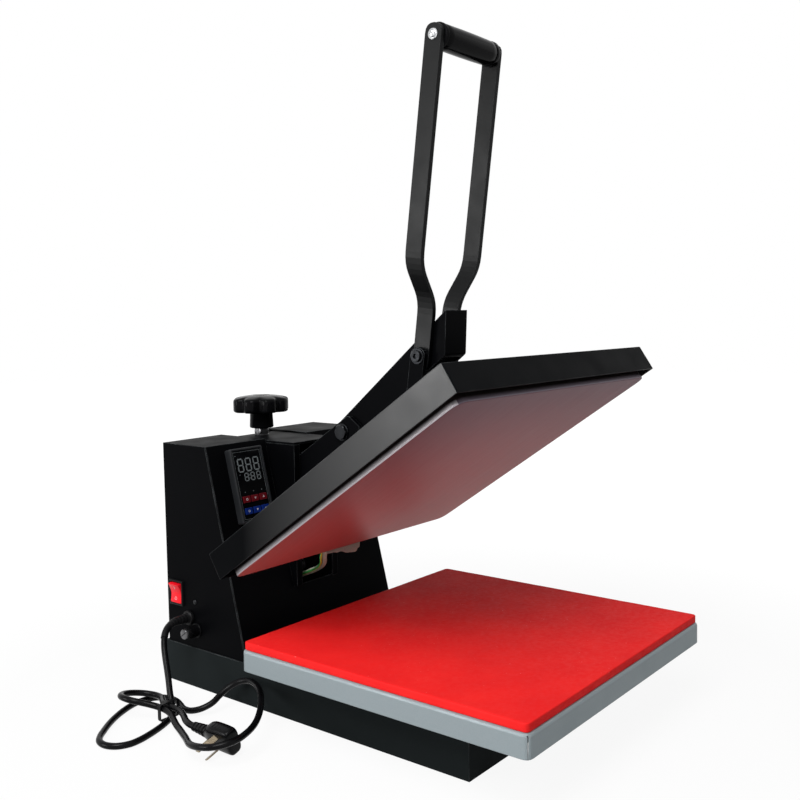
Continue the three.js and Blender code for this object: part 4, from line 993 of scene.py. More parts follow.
def make_pad(corner=5 * MM, ease=1.3 * MM):
    low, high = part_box("silicone_pad")
    centre, half = (low + high) / 2, (high - low) / 2
    bm = bmesh.new()

    def wavy(x, y, z):
        swell = noise.noise(Vector((x * 18, y * 18, 3.1))) * 0.22 * MM
        swell += noise.noise(Vector((x * 55, y * 55, 9.7))) * 0.08 * MM
        share = max(0, (z - centre.z) / (high.z - centre.z))
        return z + (swell - 0.2 * MM) * share

    rings = []
    for inset, z in pad_profile(low.z, high.z, half, ease):
        edge_ring = []
        for point in pad_contour(half, corner, inset):
            x, y = centre.x + point.x, centre.y + point.y
            edge = abs(noise.noise(Vector((x * 30, y * 30, 1.7)))) * 0.2 * MM if inset < ease else 0
            edge_ring.append(bm.verts.new((x - math.copysign(edge, point.x), y - math.copysign(edge, point.y),
                                           wavy(x, y, z))))
        rings.append(edge_ring)
    skin(bm, rings)
    pad = hand_over("sponge_pad", bm, red_silicone, "frame", ["silicone_pad"], sharp=50)
    return pad


sponge_pad = make_pad()
print("pad faces", len(sponge_pad.data.polygons))

# %% [markdown]
# ## Leads into the platen
#
# The heater's wires run inside a white braided sleeve from the slot in the column up into
# the back of the platen, with a green and yellow earth wire beside it. They cross the main
# hinge, running from the column at one end to the platen at the other. Their points are
# given in the frame of the closed platen, and one matrix swings them open.

# %% Sleeve and earth wire
hinge, open_angle, earth_radius = middle("main_hinge_pin"), math.radians(33.7), 1.6 * MM
OPEN = Matrix.Translation((0, hinge.y, hinge.z)) @ Matrix.Rotation(-open_angle, 4, "X")


def lead_line(shift):
    """A lead's line, moved to the left by shift."""
    start_x, end_x = -7 - shift, -42 - shift
    points = [
        (start_x, -15.3, -18.3), (start_x + (end_x - start_x) * 0.25, -61.15, -27.5),
        (start_x + (end_x - start_x) * 0.75, -95, -30.7), (end_x, -109, -26.7), (end_x, -113, -22),
        (end_x, -113, -14.7),
    ]
    return smooth_line([OPEN @ (Vector(p) * MM) for p in points], 12)


def striped(name, first, second):
    finish, tree, shader = new_finish(name, first, 0.42)
    run = add_node(tree, "ShaderNodeUVMap", uv_map="run").outputs["UV"]
    around = add_node(tree, "ShaderNodeSeparateXYZ", {"Vector": run}).outputs["X"]
    whole_turn = 2 * math.pi * earth_radius
    band = calculate(tree, "MODULO", around, whole_turn / 2)
    chosen = remap(tree, band, whole_turn * 0.17, whole_turn * 0.19, 0, 1)
    feed(tree, shader, {"Base Color": mix_colors(tree, chosen, first, second)})
    set_bump(tree, shader, noise_field(tree, object_place(tree), 900, 2), 0.00003, 0.4)
    return finish


earth_stripes = striped("earth_green_yellow", (0.60, 0.52, 0.03), (0.035, 0.26, 0.06))
braided_sleeve = woven("braided_sleeve", (0.66, 0.68, 0.55), 0.0009, from_uv=True, turn=math.radians(45))


def make_lead(name, shift, radius, finish, node):
    bm = bmesh.new()
    line = lead_line(shift)
    tube(bm, line, radius, sides=16)
    lead = hand_over(name, bm, finish, "", [node], sharp=60)
    name_run_map(lead)
    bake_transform(lead)
    return line_length(line)


lead_lengths = {
    "sleeve": make_lead("heater_sleeve", 0, 3.3 * MM, braided_sleeve, "glass_sleeve"),
    "earth": make_lead("earth_lead", 5.8, earth_radius, earth_stripes, "earth_wire"),
}
print("leads", {name: round(length, 3) for name, length in lead_lengths.items()})

# %% [markdown]
# ## The cloth flap
#
# A strip of glass cloth hangs out at the platen's back edge, where the insulation was cut.
# It is a thin sheet: a grid with a few folds, deeper towards its free edge, given
# thickness by a Solidify modifier.

# %% Flap
flap_cut = [(0, 11.5), (0.22, 13.4), (0.44, 18.5), (0.54, 18.9), (0.62, 15.2), (0.74, 6.4), (0.88, 3.6),
            (1, 3)]


def cut_depth(share):
    """How far the rough-cut edge hangs down at each place along the strip."""
    for (low, first), (high, second) in zip(flap_cut, flap_cut[1:]):
        if share <= high:
            blend = (share - low) / (high - low)
            blend = blend * blend * (3 - 2 * blend)
            return (first + (second - first) * blend + 0.35 * math.sin(share * 41)) * MM
    return flap_cut[-1][1] * MM


def make_flap(columns=70, rows=14):
    left, width, top, drop, hem = -36 * MM, 87 * MM, -13.7 * MM, 18.9 * MM, -110 * MM
    bm = bmesh.new()
    grid = []
    for r in range(rows + 1):
        fall = r / rows
        row = []
        for c in range(columns + 1):
            share = c / columns
            wave = math.sin(share * 19 + 0.6) * 0.45 + math.sin(share * 7.3 + 2) * 0.35
            back = hem + wave * MM * fall ** 1.4 * 0.35
            level = top - cut_depth(share) * fall
            row.append(bm.verts.new(OPEN @ Vector((left + share * width, back, level))))
        grid.append(row)
    for upper, lower in zip(grid, grid[1:]):
        for c in range(columns):
            bm.faces.new([upper[c], upper[c + 1], lower[c + 1], lower[c]])
    flap = hand_over("cloth_edge", bm, glass_cloth, "platen", ["cloth_flap"], sharp=80)
    solid = flap.modifiers.new("thickness", "SOLIDIFY")
    solid.thickness = 0.5 * MM
    solid.offset = 0
    return flap


cloth_edge = make_flap()
print("flap", cloth_edge.name)

# %% [markdown]
# ## Parts that repeat
#
# Bolt heads, screws, display bars, ribs and weld drops are each one part, put down many times.
# Geometry Nodes do that well: a mesh of loose points says where, an attribute called turn
# says which way each copy faces, and the tree puts the part on every point. The result is
# turned back into a plain mesh, so nothing live is left on the press.

# %% The stamping tree
def start_tree(name, sockets):
    """A Geometry Nodes group that takes these sockets and a Finish, and gives a Result."""
    tree = bpy.data.node_groups.new(name, "GeometryNodeTree")
    for label, kind in {**sockets, "Finish": "Material"}.items():
        tree.interface.new_socket(label, in_out="INPUT", socket_type="NodeSocket" + kind)
    tree.interface.new_socket("Result", in_out="OUTPUT", socket_type="NodeSocketGeometry")
    return tree, add_node(tree, "NodeGroupInput").outputs


def end_tree(tree, geometry, finish):
    """Makes the copies real, gives everything its finish and hands it out."""
    real = add_node(tree, "GeometryNodeRealizeInstances", {"Geometry": geometry})
    finished = add_node(tree, "GeometryNodeSetMaterial", {
        "Geometry": real.outputs["Geometry"], "Material": finish})
    add_node(tree, "NodeGroupOutput", {"Result": finished.outputs["Geometry"]})
    return tree


def make_stamp_tree():
    tree, start = start_tree("stamp_on_points", {"Points": "Geometry", "Part": "Object", "Size": "Float"})
    info = add_node(tree, "GeometryNodeObjectInfo", {"Object": start["Part"]})
    turn = add_node(tree, "GeometryNodeInputNamedAttribute", {"Name": "turn"}, data_type="FLOAT_VECTOR")
    rotation = add_node(tree, "FunctionNodeEulerToRotation", {"Euler": turn.outputs["Attribute"]})
    copies = add_node(tree, "GeometryNodeInstanceOnPoints", {
        "Points": start["Points"], "Instance": info.outputs["Geometry"],
        "Rotation": rotation.outputs["Rotation"], "Scale": start["Size"]})
    return end_tree(tree, copies.outputs["Instances"], start["Finish"])


def run_tree(name, mesh, tree, values):
    """Runs a tree on a mesh, with values given by socket name, and returns a plain object."""
    carrier = put_in_scene(name + "_carrier", mesh)
    modifier = carrier.modifiers.new("shape", "NODES")
    modifier.node_group = tree
    for socket in tree.interface.items_tree:
        if socket.in_out == "INPUT" and socket.name in values:
            modifier[socket.identifier] = values[socket.name]
    graph = bpy.context.evaluated_depsgraph_get()
    result = bpy.data.meshes.new_from_object(carrier.evaluated_get(graph))
    carrier.modifiers.clear()
    bpy.data.objects.remove(carrier)
    result.name = name
    return put_in_scene(name, result)


stamp_on_points = make_stamp_tree()


def stamp(name, draw, places, finish, body, replaces=(), size=1.0, sharp=35):
    """Draws a part once, facing +Z, and puts it on each (point, turn) place."""
    bm = bmesh.new()
    draw(bm)
    bmesh.ops.recalc_face_normals(bm, faces=bm.faces)
    part = put_in_scene("part", to_mesh("part", bm))
    points = bpy.data.meshes.new("points")
    points.from_pydata([tuple(point) for point, turn in places], [], [])
    attribute = points.attributes.new("turn", "FLOAT_VECTOR", "POINT")
    for index, (point, turn) in enumerate(places):
        attribute.data[index].vector = turn
    piece = run_tree(name, points, stamp_on_points, {"Part": part, "Size": size, "Finish": finish})
    bpy.data.objects.remove(part)
    return adopt(piece, finish, body, replaces, sharp)


TO_LEFT = (0, math.radians(-90), 0)
TO_RIGHT = (0, math.radians(90), 0)
print("stamping tree", len(stamp_on_points.nodes), "nodes")

# %% [markdown]
# ## Bolt heads and pin heads
#
# The pivots end in blackened bolts. A hexagon head isn't a plain prism: its corners are
# turned off at 30 degrees, so a curved facet runs round the top. That shape is the smaller
# of two radii at each angle, the hexagon's and the cone's, which is easy to write as rings.

# %% Hexagon head
def hexagon_reach(across, angle):
    """How far the edge of a hexagon lies from its middle at an angle."""
    return across / 2 / math.cos((angle + math.pi / 6) % (math.pi / 3) - math.pi / 6)


def hexagon(bm, across, low, high, place=Matrix(), both=False, sides=48):
    """A head, or with both its faces chamfered a nut."""
    chamfer = across * 0.09
    heights = [low, low + chamfer / 2, low + chamfer, high - chamfer, high - chamfer / 2, high]
    cones = [1.0, 1.08, 1.17, 1.17, 1.08, 0.96] if both else [1.17, 1.17, 1.17, 1.17, 1.08, 0.96]
    skin(bm, [ring(bm, lambda a: min(hexagon_reach(across, a), cone * across / 2), height, sides, place)
              for height, cone in zip(heights, cones)])


def disc(bm, radius, low, high, ease=0.3 * MM, sides=40, place=Matrix()):
    lathe(bm, [(0, low), (radius - ease, low), (radius, low + ease), (radius, high - ease),
               (radius - ease, high), (0, high)], sides, place)


dark_steel = plain_metal("blackened_steel", (0.022, 0.023, 0.025), 0.26, 0.44, 320, 0.00003)
print("blackened steel", dark_steel.name)

# %% [markdown]
# Each pivot gets its own size of washer and head. Their places are read from the packed
# solids' boxes, so the heads sit where the CAD model put them. The two heads of a pin face
# away from each other.

# %% Pivot bolts
def mirrored(node, x):
    """A place level with a node's middle that faces out to the left, and its mirror image."""
    y, z = middle(node).yz
    return [((x, y, z), TO_LEFT), ((-x, y, z), TO_RIGHT)]


def pivot_bolts(name, node, body, head, washer, across):
    washer_top, ease = 1.4 * MM, 0.1 * MM

    def draw(bm):
        lathe(bm, mm((0, -6), (5.5, -6), (5.5, 0), (0, 0)), 24)
        disc(bm, washer, 0, washer_top)
        hexagon(bm, across, washer_top, head)
        disc(bm, across * 0.36, head - 2 * ease, head + ease / 10, ease)

    places = mirrored(node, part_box(node)[0].x + head)
    return stamp(name, draw, places, dark_steel, body, [node], sharp=30)


def solid_pin(name, node, body, radius, half):
    y, z = middle(node).yz
    bm = bmesh.new()
    disc(bm, radius, -half, half, 0.5 * MM, 32, Matrix.Translation((0, y, z)) @ ALONG_X)
    return hand_over(name, bm, zinc, body)


pivots = [
    ("hinge", "main_hinge_pin", "frame", (5, 12, 19), (8, 37.3)),
    ("lever", "lever_pin", "carriage", (4.5, 10.5, 17), (7, 27)),
    ("seat", "platen_link_pin", "platen", (4, 9, 14), (7, 33.2)),
]
for name, node, body, head_sizes, pin_sizes in pivots:
    head_sizes, pin_sizes = mm(head_sizes, pin_sizes)
    pivot_bolts(name + "_bolt_heads", node, body, *head_sizes)
    solid_pin(name + "_shaft", node, body, *pin_sizes)
print("pivot bolts stamped")

# %% [markdown]
# The upper ends of the links turn on a blackened socket-head screw. Its head is a short
# cylinder with a hexagon socket sunk into it: the socket is made by stepping the rings
# inwards and down before the middle is closed.

# %% Link screws
def socket_head(bm, radius, height, across, depth, sides=48):
    """Rows of (radius, height); one without a radius follows the socket's hexagon."""
    ease = 0.5 * MM
    rows = [(radius, 0), (radius, height - ease), (radius - ease, height), (None, height),
            (None, height - depth)]
    skin(bm, [ring(bm, lambda a: size or hexagon_reach(across, a), z, sides) for size, z in rows])


def draw_link_screw(bm):
    disc(bm, 9 * MM, 0, 1.2 * MM)
    socket_head(bm, 6.6 * MM, 4.2 * MM, 5.6 * MM, 2.2 * MM)
    lathe(bm, mm((0, -6), (5, -6), (5, 0.2), (0, 0.2)), 24)


link_places = mirrored("link_bolt_left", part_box("link_bolt_left")[0].x + 4.3 * MM)
stamp("link_screws", draw_link_screw, link_places, dark_steel, "links",
      ["link_bolt_left", "link_bolt_right"], sharp=30)
print("link screws at", [round(v * 1000, 1) for v in link_places[0][0]])

# %% [markdown]
# The grip is held by a bright domed screw at each end, on a shiny cup washer. The dome, the
# washer and the cross recess are drawn once and stamped on both ends.

# %% Grip screws
def cross_recess(bm, reach, width, depth, top):
    """A dark cross of painted shade where the recess would be, sunk a little: two thin bars that cross at the
    middle.
    """
    for turn in (0, 90):
        rounded_box(bm, (-reach, -width, top - depth), (reach, width, top + 0.02 * MM), 0.12 * MM, 1,
                    Matrix.Rotation(math.radians(turn), 4, "Z"))


def draw_grip_screw(bm):
    lathe(bm, mm((0, -6), (2.6, -6), (2.6, 0), (7.3, 0), (7.5, 0.5), (6.9, 1.3), (5.1, 1.2), (5, 2.2),
                 (4.4, 3.3), (3.2, 4.1), (1.6, 4.45), (0, 4.5)), 40)


grip_screw_size = 0.82
grip_places = mirrored("grip_screw_left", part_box("grip_screw_left")[1].x)
stamp("grip_screws", draw_grip_screw, grip_places, chrome, "handle",
      ["grip_screw_left", "grip_screw_right"], size=grip_screw_size)
# The grip screws' recess is a dark cross of painted shade.
stamp("grip_screw_recess", lambda bm: cross_recess(bm, 2.2 * MM, 0.5 * MM, 0.6 * MM, 4.42 * MM), grip_places,
      dark_steel, "handle", size=grip_screw_size)
print("grip screws stamped")

# %% [markdown]
# The covers are held by one pan-head screw on each side. It is one little screw, drawn once
# and stamped at both places.

# %% Cover screws
def draw_cover_screw(bm):
    lathe(bm, mm((0, -7), (1.6, -7), (1.6, 0), (2.85, 0), (3, 0.35), (2.7, 0.95), (1.8, 1.3), (0, 1.4)), 28)


screw_places = mirrored("cover_screw_left", cover_x)
stamp("cover_screws", draw_cover_screw, screw_places, dark_steel, "frame",
      ["cover_screw_left", "cover_screw_right"])
# The cover screws' recess is a dark cross of painted shade.
stamp("cover_screw_recess", lambda bm: cross_recess(bm, 1.5 * MM, 0.28 * MM, 0.5 * MM, 1.36 * MM),
      screw_places, satin_black, "frame")
print("cover screws stamped")

# %% [markdown]
# ## The pressure knob
#
# The knob is a thick glossy disc with eight lobes, on a tapered hub. Its outline follows a
# rule: a circle with a scallop cut between each pair of lobes. So it is a stack of rings
# whose radius is that rule, fading to a plain circle towards the middle of the domed top.

# %% Knob
knob_low, knob_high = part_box("pressure_knob")
knob_x, knob_y = middle("pressure_knob").xy
knob_top = (knob_high.z - knob_low.z) / MM
rim = 21.5
knob_rows = [
    (14.2, 0, 0), (15.4, 0.6, 0), (15.9, 2, 0), (15.1, rim - 2.5, 0), (16.4, rim - 0.4, 0), (20, rim, 0.1),
    (31, rim, 0.55), (35, rim + 0.3, 0.9), (36.8, rim + 1.4, 1), (37.5, rim + 3.4, 1), (37.5, rim + 14.6, 1),
    (37.1, rim + 16.6, 1), (36, rim + 18.1, 0.96), (34, rim + 19, 0.85), (31, rim + 19.8, 0.55),
    (27, rim + 20.7, 0.2), (22, rim + 21.5, 0), (16, rim + 22.2, 0), (11, rim + 22.55, 0),
    (10.4, rim + 22.2, 0), (9.6, rim + 22.2, 0), (9, rim + 22.6, 0), (5, knob_top - 0.1, 0), (1.5, knob_top, 0),
]


def lobed_radius(angle, radius, depth):
    """Eight lobes; the grooves between them are narrow and round."""
    groove = 0.5 + 0.5 * math.cos(8 * angle)
    return radius - depth * groove ** 2.4


def make_knob(groove_depth=6.2, sides=160):
    """Each row is (radius, height above the knob's foot, share of the groove's depth)."""
    bm = bmesh.new()
    place = Matrix.Translation((knob_x, knob_y, knob_low.z))
    skin(bm, [ring(bm, lambda a: lobed_radius(a, radius, groove_depth * share) * MM, height * MM, sides, place)
              for radius, height, share in knob_rows])
    return hand_over("lobed_knob", bm, gloss_black, "knob", ["pressure_knob"], sharp=50)


lobed_knob = make_knob()
print("knob faces", len(lobed_knob.data.polygons))

# %% [markdown]
# Under the hub sits the lock nut, a plain hexagon chamfered on both faces, on a washer. The
# threaded rod runs down through it. Its thread is a helix, made by a second tree: a spiral
# curve swept by a small profile, which is the usual way to make anything that winds.

# %% Lock nut and threaded rod
nut_low, nut_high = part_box("lock_nut")
worn_steel = plain_metal("worn_steel", (0.16, 0.16, 0.165), 0.24, 0.42, 350, 0.00003)


def make_nut():
    bm = bmesh.new()
    washer_top = nut_low.z + 1.3 * MM
    place = Matrix.Translation((knob_x, knob_y, 0)) @ Matrix.Rotation(math.radians(8), 4, "Z")
    disc(bm, 9.4 * MM, nut_low.z, washer_top, place=place)
    hexagon(bm, 17.6 * MM, washer_top, nut_high.z, place, both=True)
    return hand_over("hexagon_nut", bm, worn_steel, "lock_nut", ["lock_nut"], sharp=30)


make_nut()


def make_thread_tree():
    lengths = ("Turns", "Radius", "Start", "Height", "Depth")
    tree, start = start_tree("wound_thread", {"Rod": "Geometry", **dict.fromkeys(lengths, "Float")})
    spiral = add_node(tree, "GeometryNodeCurveSpiral", {
        "Resolution": 20, "Rotations": start["Turns"], "Start Radius": start["Radius"],
        "End Radius": start["Radius"], "Height": start["Height"]})
    profile = add_node(tree, "GeometryNodeCurvePrimitiveCircle", {"Resolution": 4, "Radius": start["Depth"]})
    swept = add_node(tree, "GeometryNodeCurveToMesh", {
        "Curve": spiral.outputs["Curve"], "Profile Curve": profile.outputs["Curve"], "Fill Caps": True})
    lift = add_node(tree, "ShaderNodeCombineXYZ", {"Z": start["Start"]})
    raised = add_node(tree, "GeometryNodeTransform", {
        "Geometry": swept.outputs["Mesh"], "Translation": lift.outputs["Vector"]})
    both = add_node(tree, "GeometryNodeJoinGeometry", {"Geometry": raised.outputs["Geometry"]})
    tree.links.new(start["Rod"], both.inputs["Geometry"])
    return end_tree(tree, both.outputs["Geometry"], start["Finish"])


def make_rod(pitch=1.75 * MM, start=2 * MM, end=1 * MM, collar=(112 * MM, 120 * MM)):
    """The rod is drawn about the origin, threaded by the tree, and then put in its place."""
    low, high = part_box("adjusting_rod")
    length = high.z - low.z
    bm = bmesh.new()
    lathe(bm, [(0, 0), (5 * MM, 0), (5.4 * MM, 0.5 * MM), (5.4 * MM, length - 0.5 * MM), (5 * MM, length),
               (0, length)], 28)
    disc(bm, 10 * MM, *collar, 0.6 * MM, 36)
    threaded = length - start - end
    rod = run_tree("threaded_rod", to_mesh("rod", bm), make_thread_tree(), {
        "Turns": threaded / pitch, "Radius": 5.35 * MM, "Start": start, "Height": threaded,
        "Depth": 0.62 * MM, "Finish": worn_steel})
    rod.data.transform(Matrix.Translation((knob_x, knob_y, low.z)))
    return adopt(rod, worn_steel, "knob", ["adjusting_rod"], sharp=30)


threaded_rod = make_rod()
print("rod faces", len(threaded_rod.data.polygons))

# %% [markdown]
# ## The temperature controller
#
# The controller is a bought-in box with a moulded frame that stands proud of the slanted
# panel. Everything on it is drawn in the panel's own frame, x across, s up the slope and n
# out of it, and one matrix carries it there. The frame is a loft of rounded outlines, so its
# outer edge, its flat land and the slope down to the window are all one skin.

# %% Controller frame
TILT = math.radians(14.29)
panel_foot = Vector((-80, 137.3, 50)) * MM
PANEL = Matrix.Translation(panel_foot) @ Matrix((
    (1, 0, 0, 0), (0, math.sin(TILT), -math.cos(TILT), 0),
    (0, math.cos(TILT), math.sin(TILT), 0), (0, 0, 0, 1)))
bezel_middle = 207.5


def on_panel(x, s, n):
    return PANEL @ (Vector((x, s, n)) * MM)


def ring_of_outlines(bm, rows, middle_y, place):
    """Joins outlines (half_x, half_y, radius, n) into a closed frame with a hole."""
    skin(bm, [[bm.verts.new(place @ (Vector((p.x, middle_y + p.y, n)) * MM)) for p in outline(hx, hy, radius)]
              for hx, hy, radius, n in rows], wrap=True)


def make_bezel():
    bm = bmesh.new()
    rows = [(26, 46.5, 2.6, 0.1), (26, 46.5, 2.6, 8.9), (25.8, 46.3, 2.5, 9.7), (25.2, 45.7, 2.2, 10.2),
            (24.6, 45.1, 1.9, 10.3), (23.7, 44.2, 1.4, 10.3), (23.2, 43.7, 1.1, 10.1), (22.8, 43.3, 0.9, 9.2),
            (22.7, 43.2, 0.8, 0.1)]
    ring_of_outlines(bm, rows, bezel_middle, PANEL)
    return hand_over("controller_frame", bm, frame_grey, "frame", ["controller_bezel"],
                     sharp=28)


make_bezel()
print("controller frame at", [round(v * 1000) for v in PANEL.translation])

# %% [markdown]
# The display is switched off, so its digits show as pale unlit bars behind the window. A
# seven-bar digit is one bar stamped seven times. Three large digits read the temperature and
# three small ones the time, each set with a dot for its indicator.

# %% Display digits
display_grey = moulded("unlit_display", (0.12, 0.135, 0.14), 0.35, 0.5, depth=0.000005, specular=0.2)
window_front = 8.8


def panel_turn(spin):
    """The turn of a part that lies flat on the panel, spun by an angle in its plane."""
    return tuple((PANEL.to_3x3() @ Matrix.Rotation(spin, 3, "Z")).to_euler())


def digit_bars(x, s, width, height):
    """Places of the seven bars of one digit, upright ones first."""
    spots = [(sx * width / 2, sy * height / 4, 90) for sx in (-1, 1) for sy in (-1, 1)]
    spots += [(0, sy * height / 2, 0) for sy in (-1, 0, 1)]
    return [(on_panel(x + dx, s + dy, window_front), panel_turn(math.radians(turn)))
            for dx, dy, turn in spots]


def draw_bar(length, width):
    def draw(bm):
        half, side = length / 2, width / 2
        prism(bm, mm((-half, 0), (side - half, -side), (half - side, -side), (half, 0), (half - side, side),
                     (side - half, side)), -0.2 * MM, 0.06 * MM)
    return draw


large = [place for x in (-12.5, 0, 12.5) for place in digit_bars(x, 232.4, 7.6, 15.6)]
small = [place for x in (-6.2, 3.6, 13.2) for place in digit_bars(x, 217.2, 5.4, 9.4)]
stamp("large_digits", draw_bar(7.2, 1.7), large, display_grey, "frame", sharp=20)
stamp("small_digits", draw_bar(4.5, 1.25), small, display_grey, "frame", sharp=20)


def draw_dot(bm):
    lathe(bm, mm((0, -0.2), (0.62, -0.2), (0.62, 0.05), (0, 0.06)), 16)


dots = [(-16.2, 221), (-18.4, 244.6), (-1.3, 219.3), (-1.3, 215.2), (-13.3, 199), (0, 199), (13.3, 199)]
stamp("display_dots", draw_dot, [(on_panel(x, s, window_front), panel_turn(0)) for x, s in dots],
      display_grey, "frame", sharp=20)


def make_display_line():
    """The thin pale line printed round the window."""
    bm = bmesh.new()
    rows = [(21.4, 41.8, 0.9, window_front - 0.1), (21.4, 41.8, 0.9, window_front + 0.05),
            (21.05, 41.45, 0.7, window_front + 0.05), (21.05, 41.45, 0.7, window_front - 0.1)]
    ring_of_outlines(bm, rows, bezel_middle, PANEL)
    return hand_over("display_line", bm, display_grey, "frame", sharp=20)


make_display_line()
print("display bars", len(large) + len(small))

# %% [markdown]
# ## Keys
#
# Six small keys stand through the window, three red over three blue. Each is a key of its own
# in the mechanism, so each becomes its own piece: a cap whose edges are eased and whose top
# is dished for a fingertip. The pale marks are generic: a ring, an arrow down and one up.

# %% Keys and their marks
mark_white = moulded("printed_white", (0.42, 0.44, 0.46), 0.4, 0.55, depth=0.000004, specular=0.2)
key_top, key_pitch = 9.96, 13.3


def make_key_cap(name, x, s, finish):
    bm = bmesh.new()
    rows = [(5.5, 4, 0.5, 6.4), (5.5, 4, 0.5, 9.4), (5.35, 3.85, 0.5, 9.85), (5.0, 3.5, 0.5, 10.1),
            (3.6, 2.3, 0.5, key_top)]
    skin(bm, [[bm.verts.new(on_panel(x + p.x, s + p.y, n)) for p in outline(half_x, half_y, radius, 4)]
              for half_x, half_y, radius, n in rows])
    hand_over(name + "_cap", bm, finish, name, [name], sharp=24)


def make_key_mark(name, x, s, mark):
    bm = bmesh.new()
    place = PANEL @ Matrix.Translation(Vector((x, s, key_top)) * MM)
    if mark == "ring":
        lathe(bm, mm((0.9, -0.1), (1.5, -0.1), (1.5, 0.06), (0.9, 0.06), (0.9, -0.1)), 24, place)
        bmesh.ops.remove_doubles(bm, verts=bm.verts, dist=1e-7)
    else:
        way = 1 if mark == "up" else -1
        arrow = mm((-1.5, -1.1 * way), (1.5, -1.1 * way), (0, 1.4 * way))[::way]
        prism(bm, arrow, -0.1 * MM, 0.06 * MM, place)
    hand_over(name + "_mark", bm, mark_white, name, sharp=20)


for color_name, s, finish in (("red", 190, key_red), ("blue", 175.5, key_blue)):
    for column, mark in enumerate(("ring", "down", "up")):
        key = f"{color_name}_key_{column + 1}"
        x, slot = (column - 1) * key_pitch, f"key_{color_name}"
        make_key_cap(key, x, s, finish)
        make_key_mark(key, x, s, mark)
print("keys made")

# %% [markdown]
# ## Mains switch
#
# The switch is a red rocker in a black snap-in frame. The rocker's face is dished: high at
# both ends and low in the middle, where it pivots. Its two marks are the usual ones, a bar
# for on and a ring for off. The rocker moves, so its marks ride on it too.

# %% Switch
rocker_pivot = Vector((cover_x, 266 * MM, 115 * MM))
SWITCH = Matrix.Translation(rocker_pivot) @ Matrix(((0, 0, -1, 0), (-1, 0, 0, 0), (0, 1, 0, 0), (0, 0, 0, 1)))


def make_switch_frame():
    bm = bmesh.new()
    rows = [(13.5, 16, 1.6, -6), (13.5, 16, 1.6, 1.6), (13.2, 15.7, 1.5, 2.5), (12.5, 15, 1.2, 3),
            (11.6, 14.1, 1, 3), (10.9, 13.4, 0.7, 2.6), (10.3, 12.8, 0.5, 1.2), (10.3, 12.8, 0.5, -6)]
    ring_of_outlines(bm, rows, 0, SWITCH)
    prism(bm, mm(*rectangle(10.4, 12.9)), -7 * MM, -5.5 * MM, SWITCH)
    return hand_over("switch_surround", bm, satin_black, "frame", ["switch_frame"], sharp=28)


ROCKER = SWITCH @ Matrix.Rotation(math.radians(8), 4, "X")


def rocker_height(y):
    return 2.4 + 2.9 * abs(y / 12.5) ** 1.7


def make_rocker(half_length=12.2, half_width=9.9, foot=-4, steps=24):
    bm = bmesh.new()
    rows = []
    for k in range(steps + 1):
        y = 2 * half_length * k / steps - half_length
        top = rocker_height(y) - (0.5 if k in (0, steps) else 0)
        left_edge = [(-half_width, foot), (-half_width, top - 0.6), (0.3 - half_width, top - 0.15),
                     (0.8 - half_width, top)]
        rows.append((y, left_edge + [(-x, z) for x, z in reversed(left_edge)]))
    loft(bm, rows, ROCKER)
    hand_over("rocker_cap", bm, rocker_red, "rocker", ["switch_rocker"], sharp=40)


def make_rocker_marks(mark_y=7):
    bm = bmesh.new()
    slope = math.atan((rocker_height(mark_y + 2) - rocker_height(mark_y - 2)) / 4)
    for way in (1, -1):
        spot = Matrix.Translation(Vector((0, way * mark_y, rocker_height(mark_y))) * MM)
        place = ROCKER @ spot @ Matrix.Rotation(way * slope, 4, "X")
        if way > 0:
            rounded_box(bm, *mm((-0.28, -1.9, -0.2), (0.28, 1.9, 0.1)), 0, 1, place)
        else:
            lathe(bm, mm((1.5, -0.2), (2, -0.2), (2, 0.1), (1.5, 0.1), (1.5, -0.2)), 28, place)
    bmesh.ops.remove_doubles(bm, verts=bm.verts, dist=1e-7)
    hand_over("rocker_marks", bm, mark_white, "rocker", sharp=20)


make_switch_frame()
make_rocker()
make_rocker_marks()
print("switch at", [round(v * 1000) for v in rocker_pivot])

# %% [markdown]
# ## Fuse holder
#
# The fuse sits in a round holder with a knurled collar, closed by a worn metal cap with a
# coin slot. The ribs of the collar are one small ridge, stamped round the axis.

# %% Fuse holder and cap
FUSE = out_of_left_cover("fuse_holder")


def make_fuse_holder(ridge_count=24, collar=7 * MM, ridge_height=8.4 * MM):
    bm = bmesh.new()
    lathe(bm, mm((0, -20), (5.8, -20), (5.8, 0), (9, 0), (9.2, 0.4), (9.2, 1.6), (8.6, 2.2), (7, 2.4),
                 (6.9, 14), (6.5, 14.9), (5.6, 15), (0, 15)), 40, FUSE)
    hand_over("fuse_body", bm, gloss_black, "frame", ["fuse_holder"], sharp=30)
    ridges = []
    for angle in round_angles(ridge_count):
        point = FUSE @ Vector((collar * math.cos(angle), collar * math.sin(angle), ridge_height))
        ridges.append((point, tuple((FUSE.to_3x3() @ Matrix.Rotation(angle, 3, "Z")).to_euler())))
    stamp("fuse_knurl", lambda bm: rounded_box(bm, *mm((-0.3, -0.42, -5), (0.45, 0.42, 5)), 0.18 * MM, 1),
          ridges, gloss_black, "frame")


def make_fuse_cap():
    """The cap is turned, and its coin slot is a dark bar of painted shade let into the face."""
    bm = bmesh.new()
    lathe(bm, mm((0, 15.1), (6.2, 15.1), (6.3, 15.4), (6.3, 19.9), (5.9, 20.6), (5.1, 20.9), (0, 20.9)),
          40, FUSE)
    hand_over("fuse_cap_face", bm, worn_steel, "fuse_cap", ["fuse_cap"], sharp=30)
    # The slot is a dark bar of painted shade.
    bm = bmesh.new()
    rounded_box(bm, *mm((-0.75, -5, 20.2), (0.75, 5, 20.98)), 0.2 * MM, 1,
                FUSE @ Matrix.Rotation(math.radians(35), 4, "Z"))
    hand_over("fuse_cap_slot", bm, dark_steel, "fuse_cap", sharp=30)


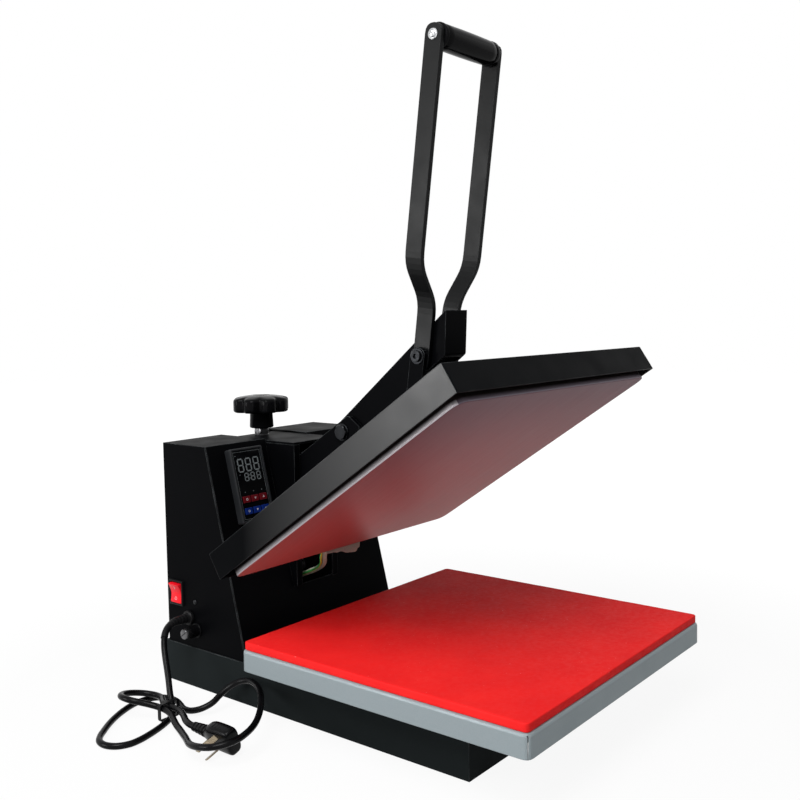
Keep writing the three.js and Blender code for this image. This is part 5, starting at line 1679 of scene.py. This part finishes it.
make_fuse_holder()
make_fuse_cap()
print("fuse holder at", [round(v * 1000) for v in FUSE.translation])

# %% [markdown]
# ## The grip
#
# The grip is a tube of glossy black plastic over the cross bar, between two end collars. It
# isn't quite straight: a hand-filling barrel, a little fuller in the middle.

# %% Grip
grip_ends = [(2.2, 0), (0.8, 0.4), (0.2, 1.6), (0.2, 4.6), (1.0, 5.2), (1.0, 6.2), (0.5, 7)]


def make_grip(swell=0.45 * MM, steps=12):
    """Each end is rows of (depth under the full radius, distance from the end)."""
    low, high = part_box("handle_grip")
    y, z = middle("handle_grip").yz
    radius, half = (high.y - low.y) / 2, high.x
    end = [(0, -half)] + [(radius - depth, along - half) for depth, along in mm(*grip_ends)]
    barrel_radius, barrel_start = end[-1]
    barrel = [(barrel_radius + swell * math.sin(math.pi * k / steps), barrel_start * (1 - 2 * k / steps))
              for k in range(1, steps)]
    bm = bmesh.new()
    lathe(bm, end + barrel + [(r, -h) for r, h in reversed(end)], 56, Matrix.Translation((0, y, z)) @ ALONG_X)
    return hand_over("grip_sleeve", bm, gloss_black, "handle", ["handle_grip"], sharp=40)


make_grip()

# %% [markdown]
# ## Weld beads
#
# The yoke's two arms are welded to their foot. A MIG bead looks like a row of overlapping
# coins, so it is a flattened drop stamped along each seam, a bead's pitch apart. Seams run
# just where two plates meet.

# %% Welds
def seam(start, end, outward, pitch=2.6 * MM, unevenness=0.25 * MM):
    """Places along a straight seam, each drop's dome facing one way."""
    count = max(2, int((end - start).length / pitch))
    turn = tuple(outward.to_track_quat("Z", "X").to_euler())
    return [(start.lerp(end, k / count) + Vector((0, 0, unevenness * math.sin(k * 2.4))), turn)
            for k in range(count + 1)]


def draw_drop(bm):
    lathe(bm, mm((0, -1.2), (2.6, -1.0), (2.9, 0), (2.3, 0.9), (1.2, 1.4), (0, 1.55)), 12)


arm_sides = [(20.6, -1), (26.4, 1)]
seam_front, seam_rear, seam_height = -334, -124, 16.6
yoke_seams = []
for side in (-1, 1):
    for x, way in arm_sides:
        ends = [OPEN @ (Vector((side * x, y, seam_height)) * MM) for y in (seam_front, seam_rear)]
        yoke_seams += seam(*ends, OPEN.to_3x3() @ Vector((side * way, 0, 1)))
stamp("yoke_welds", draw_drop, yoke_seams, black_coat, "platen", sharp=60)
print("weld drops", len(yoke_seams))
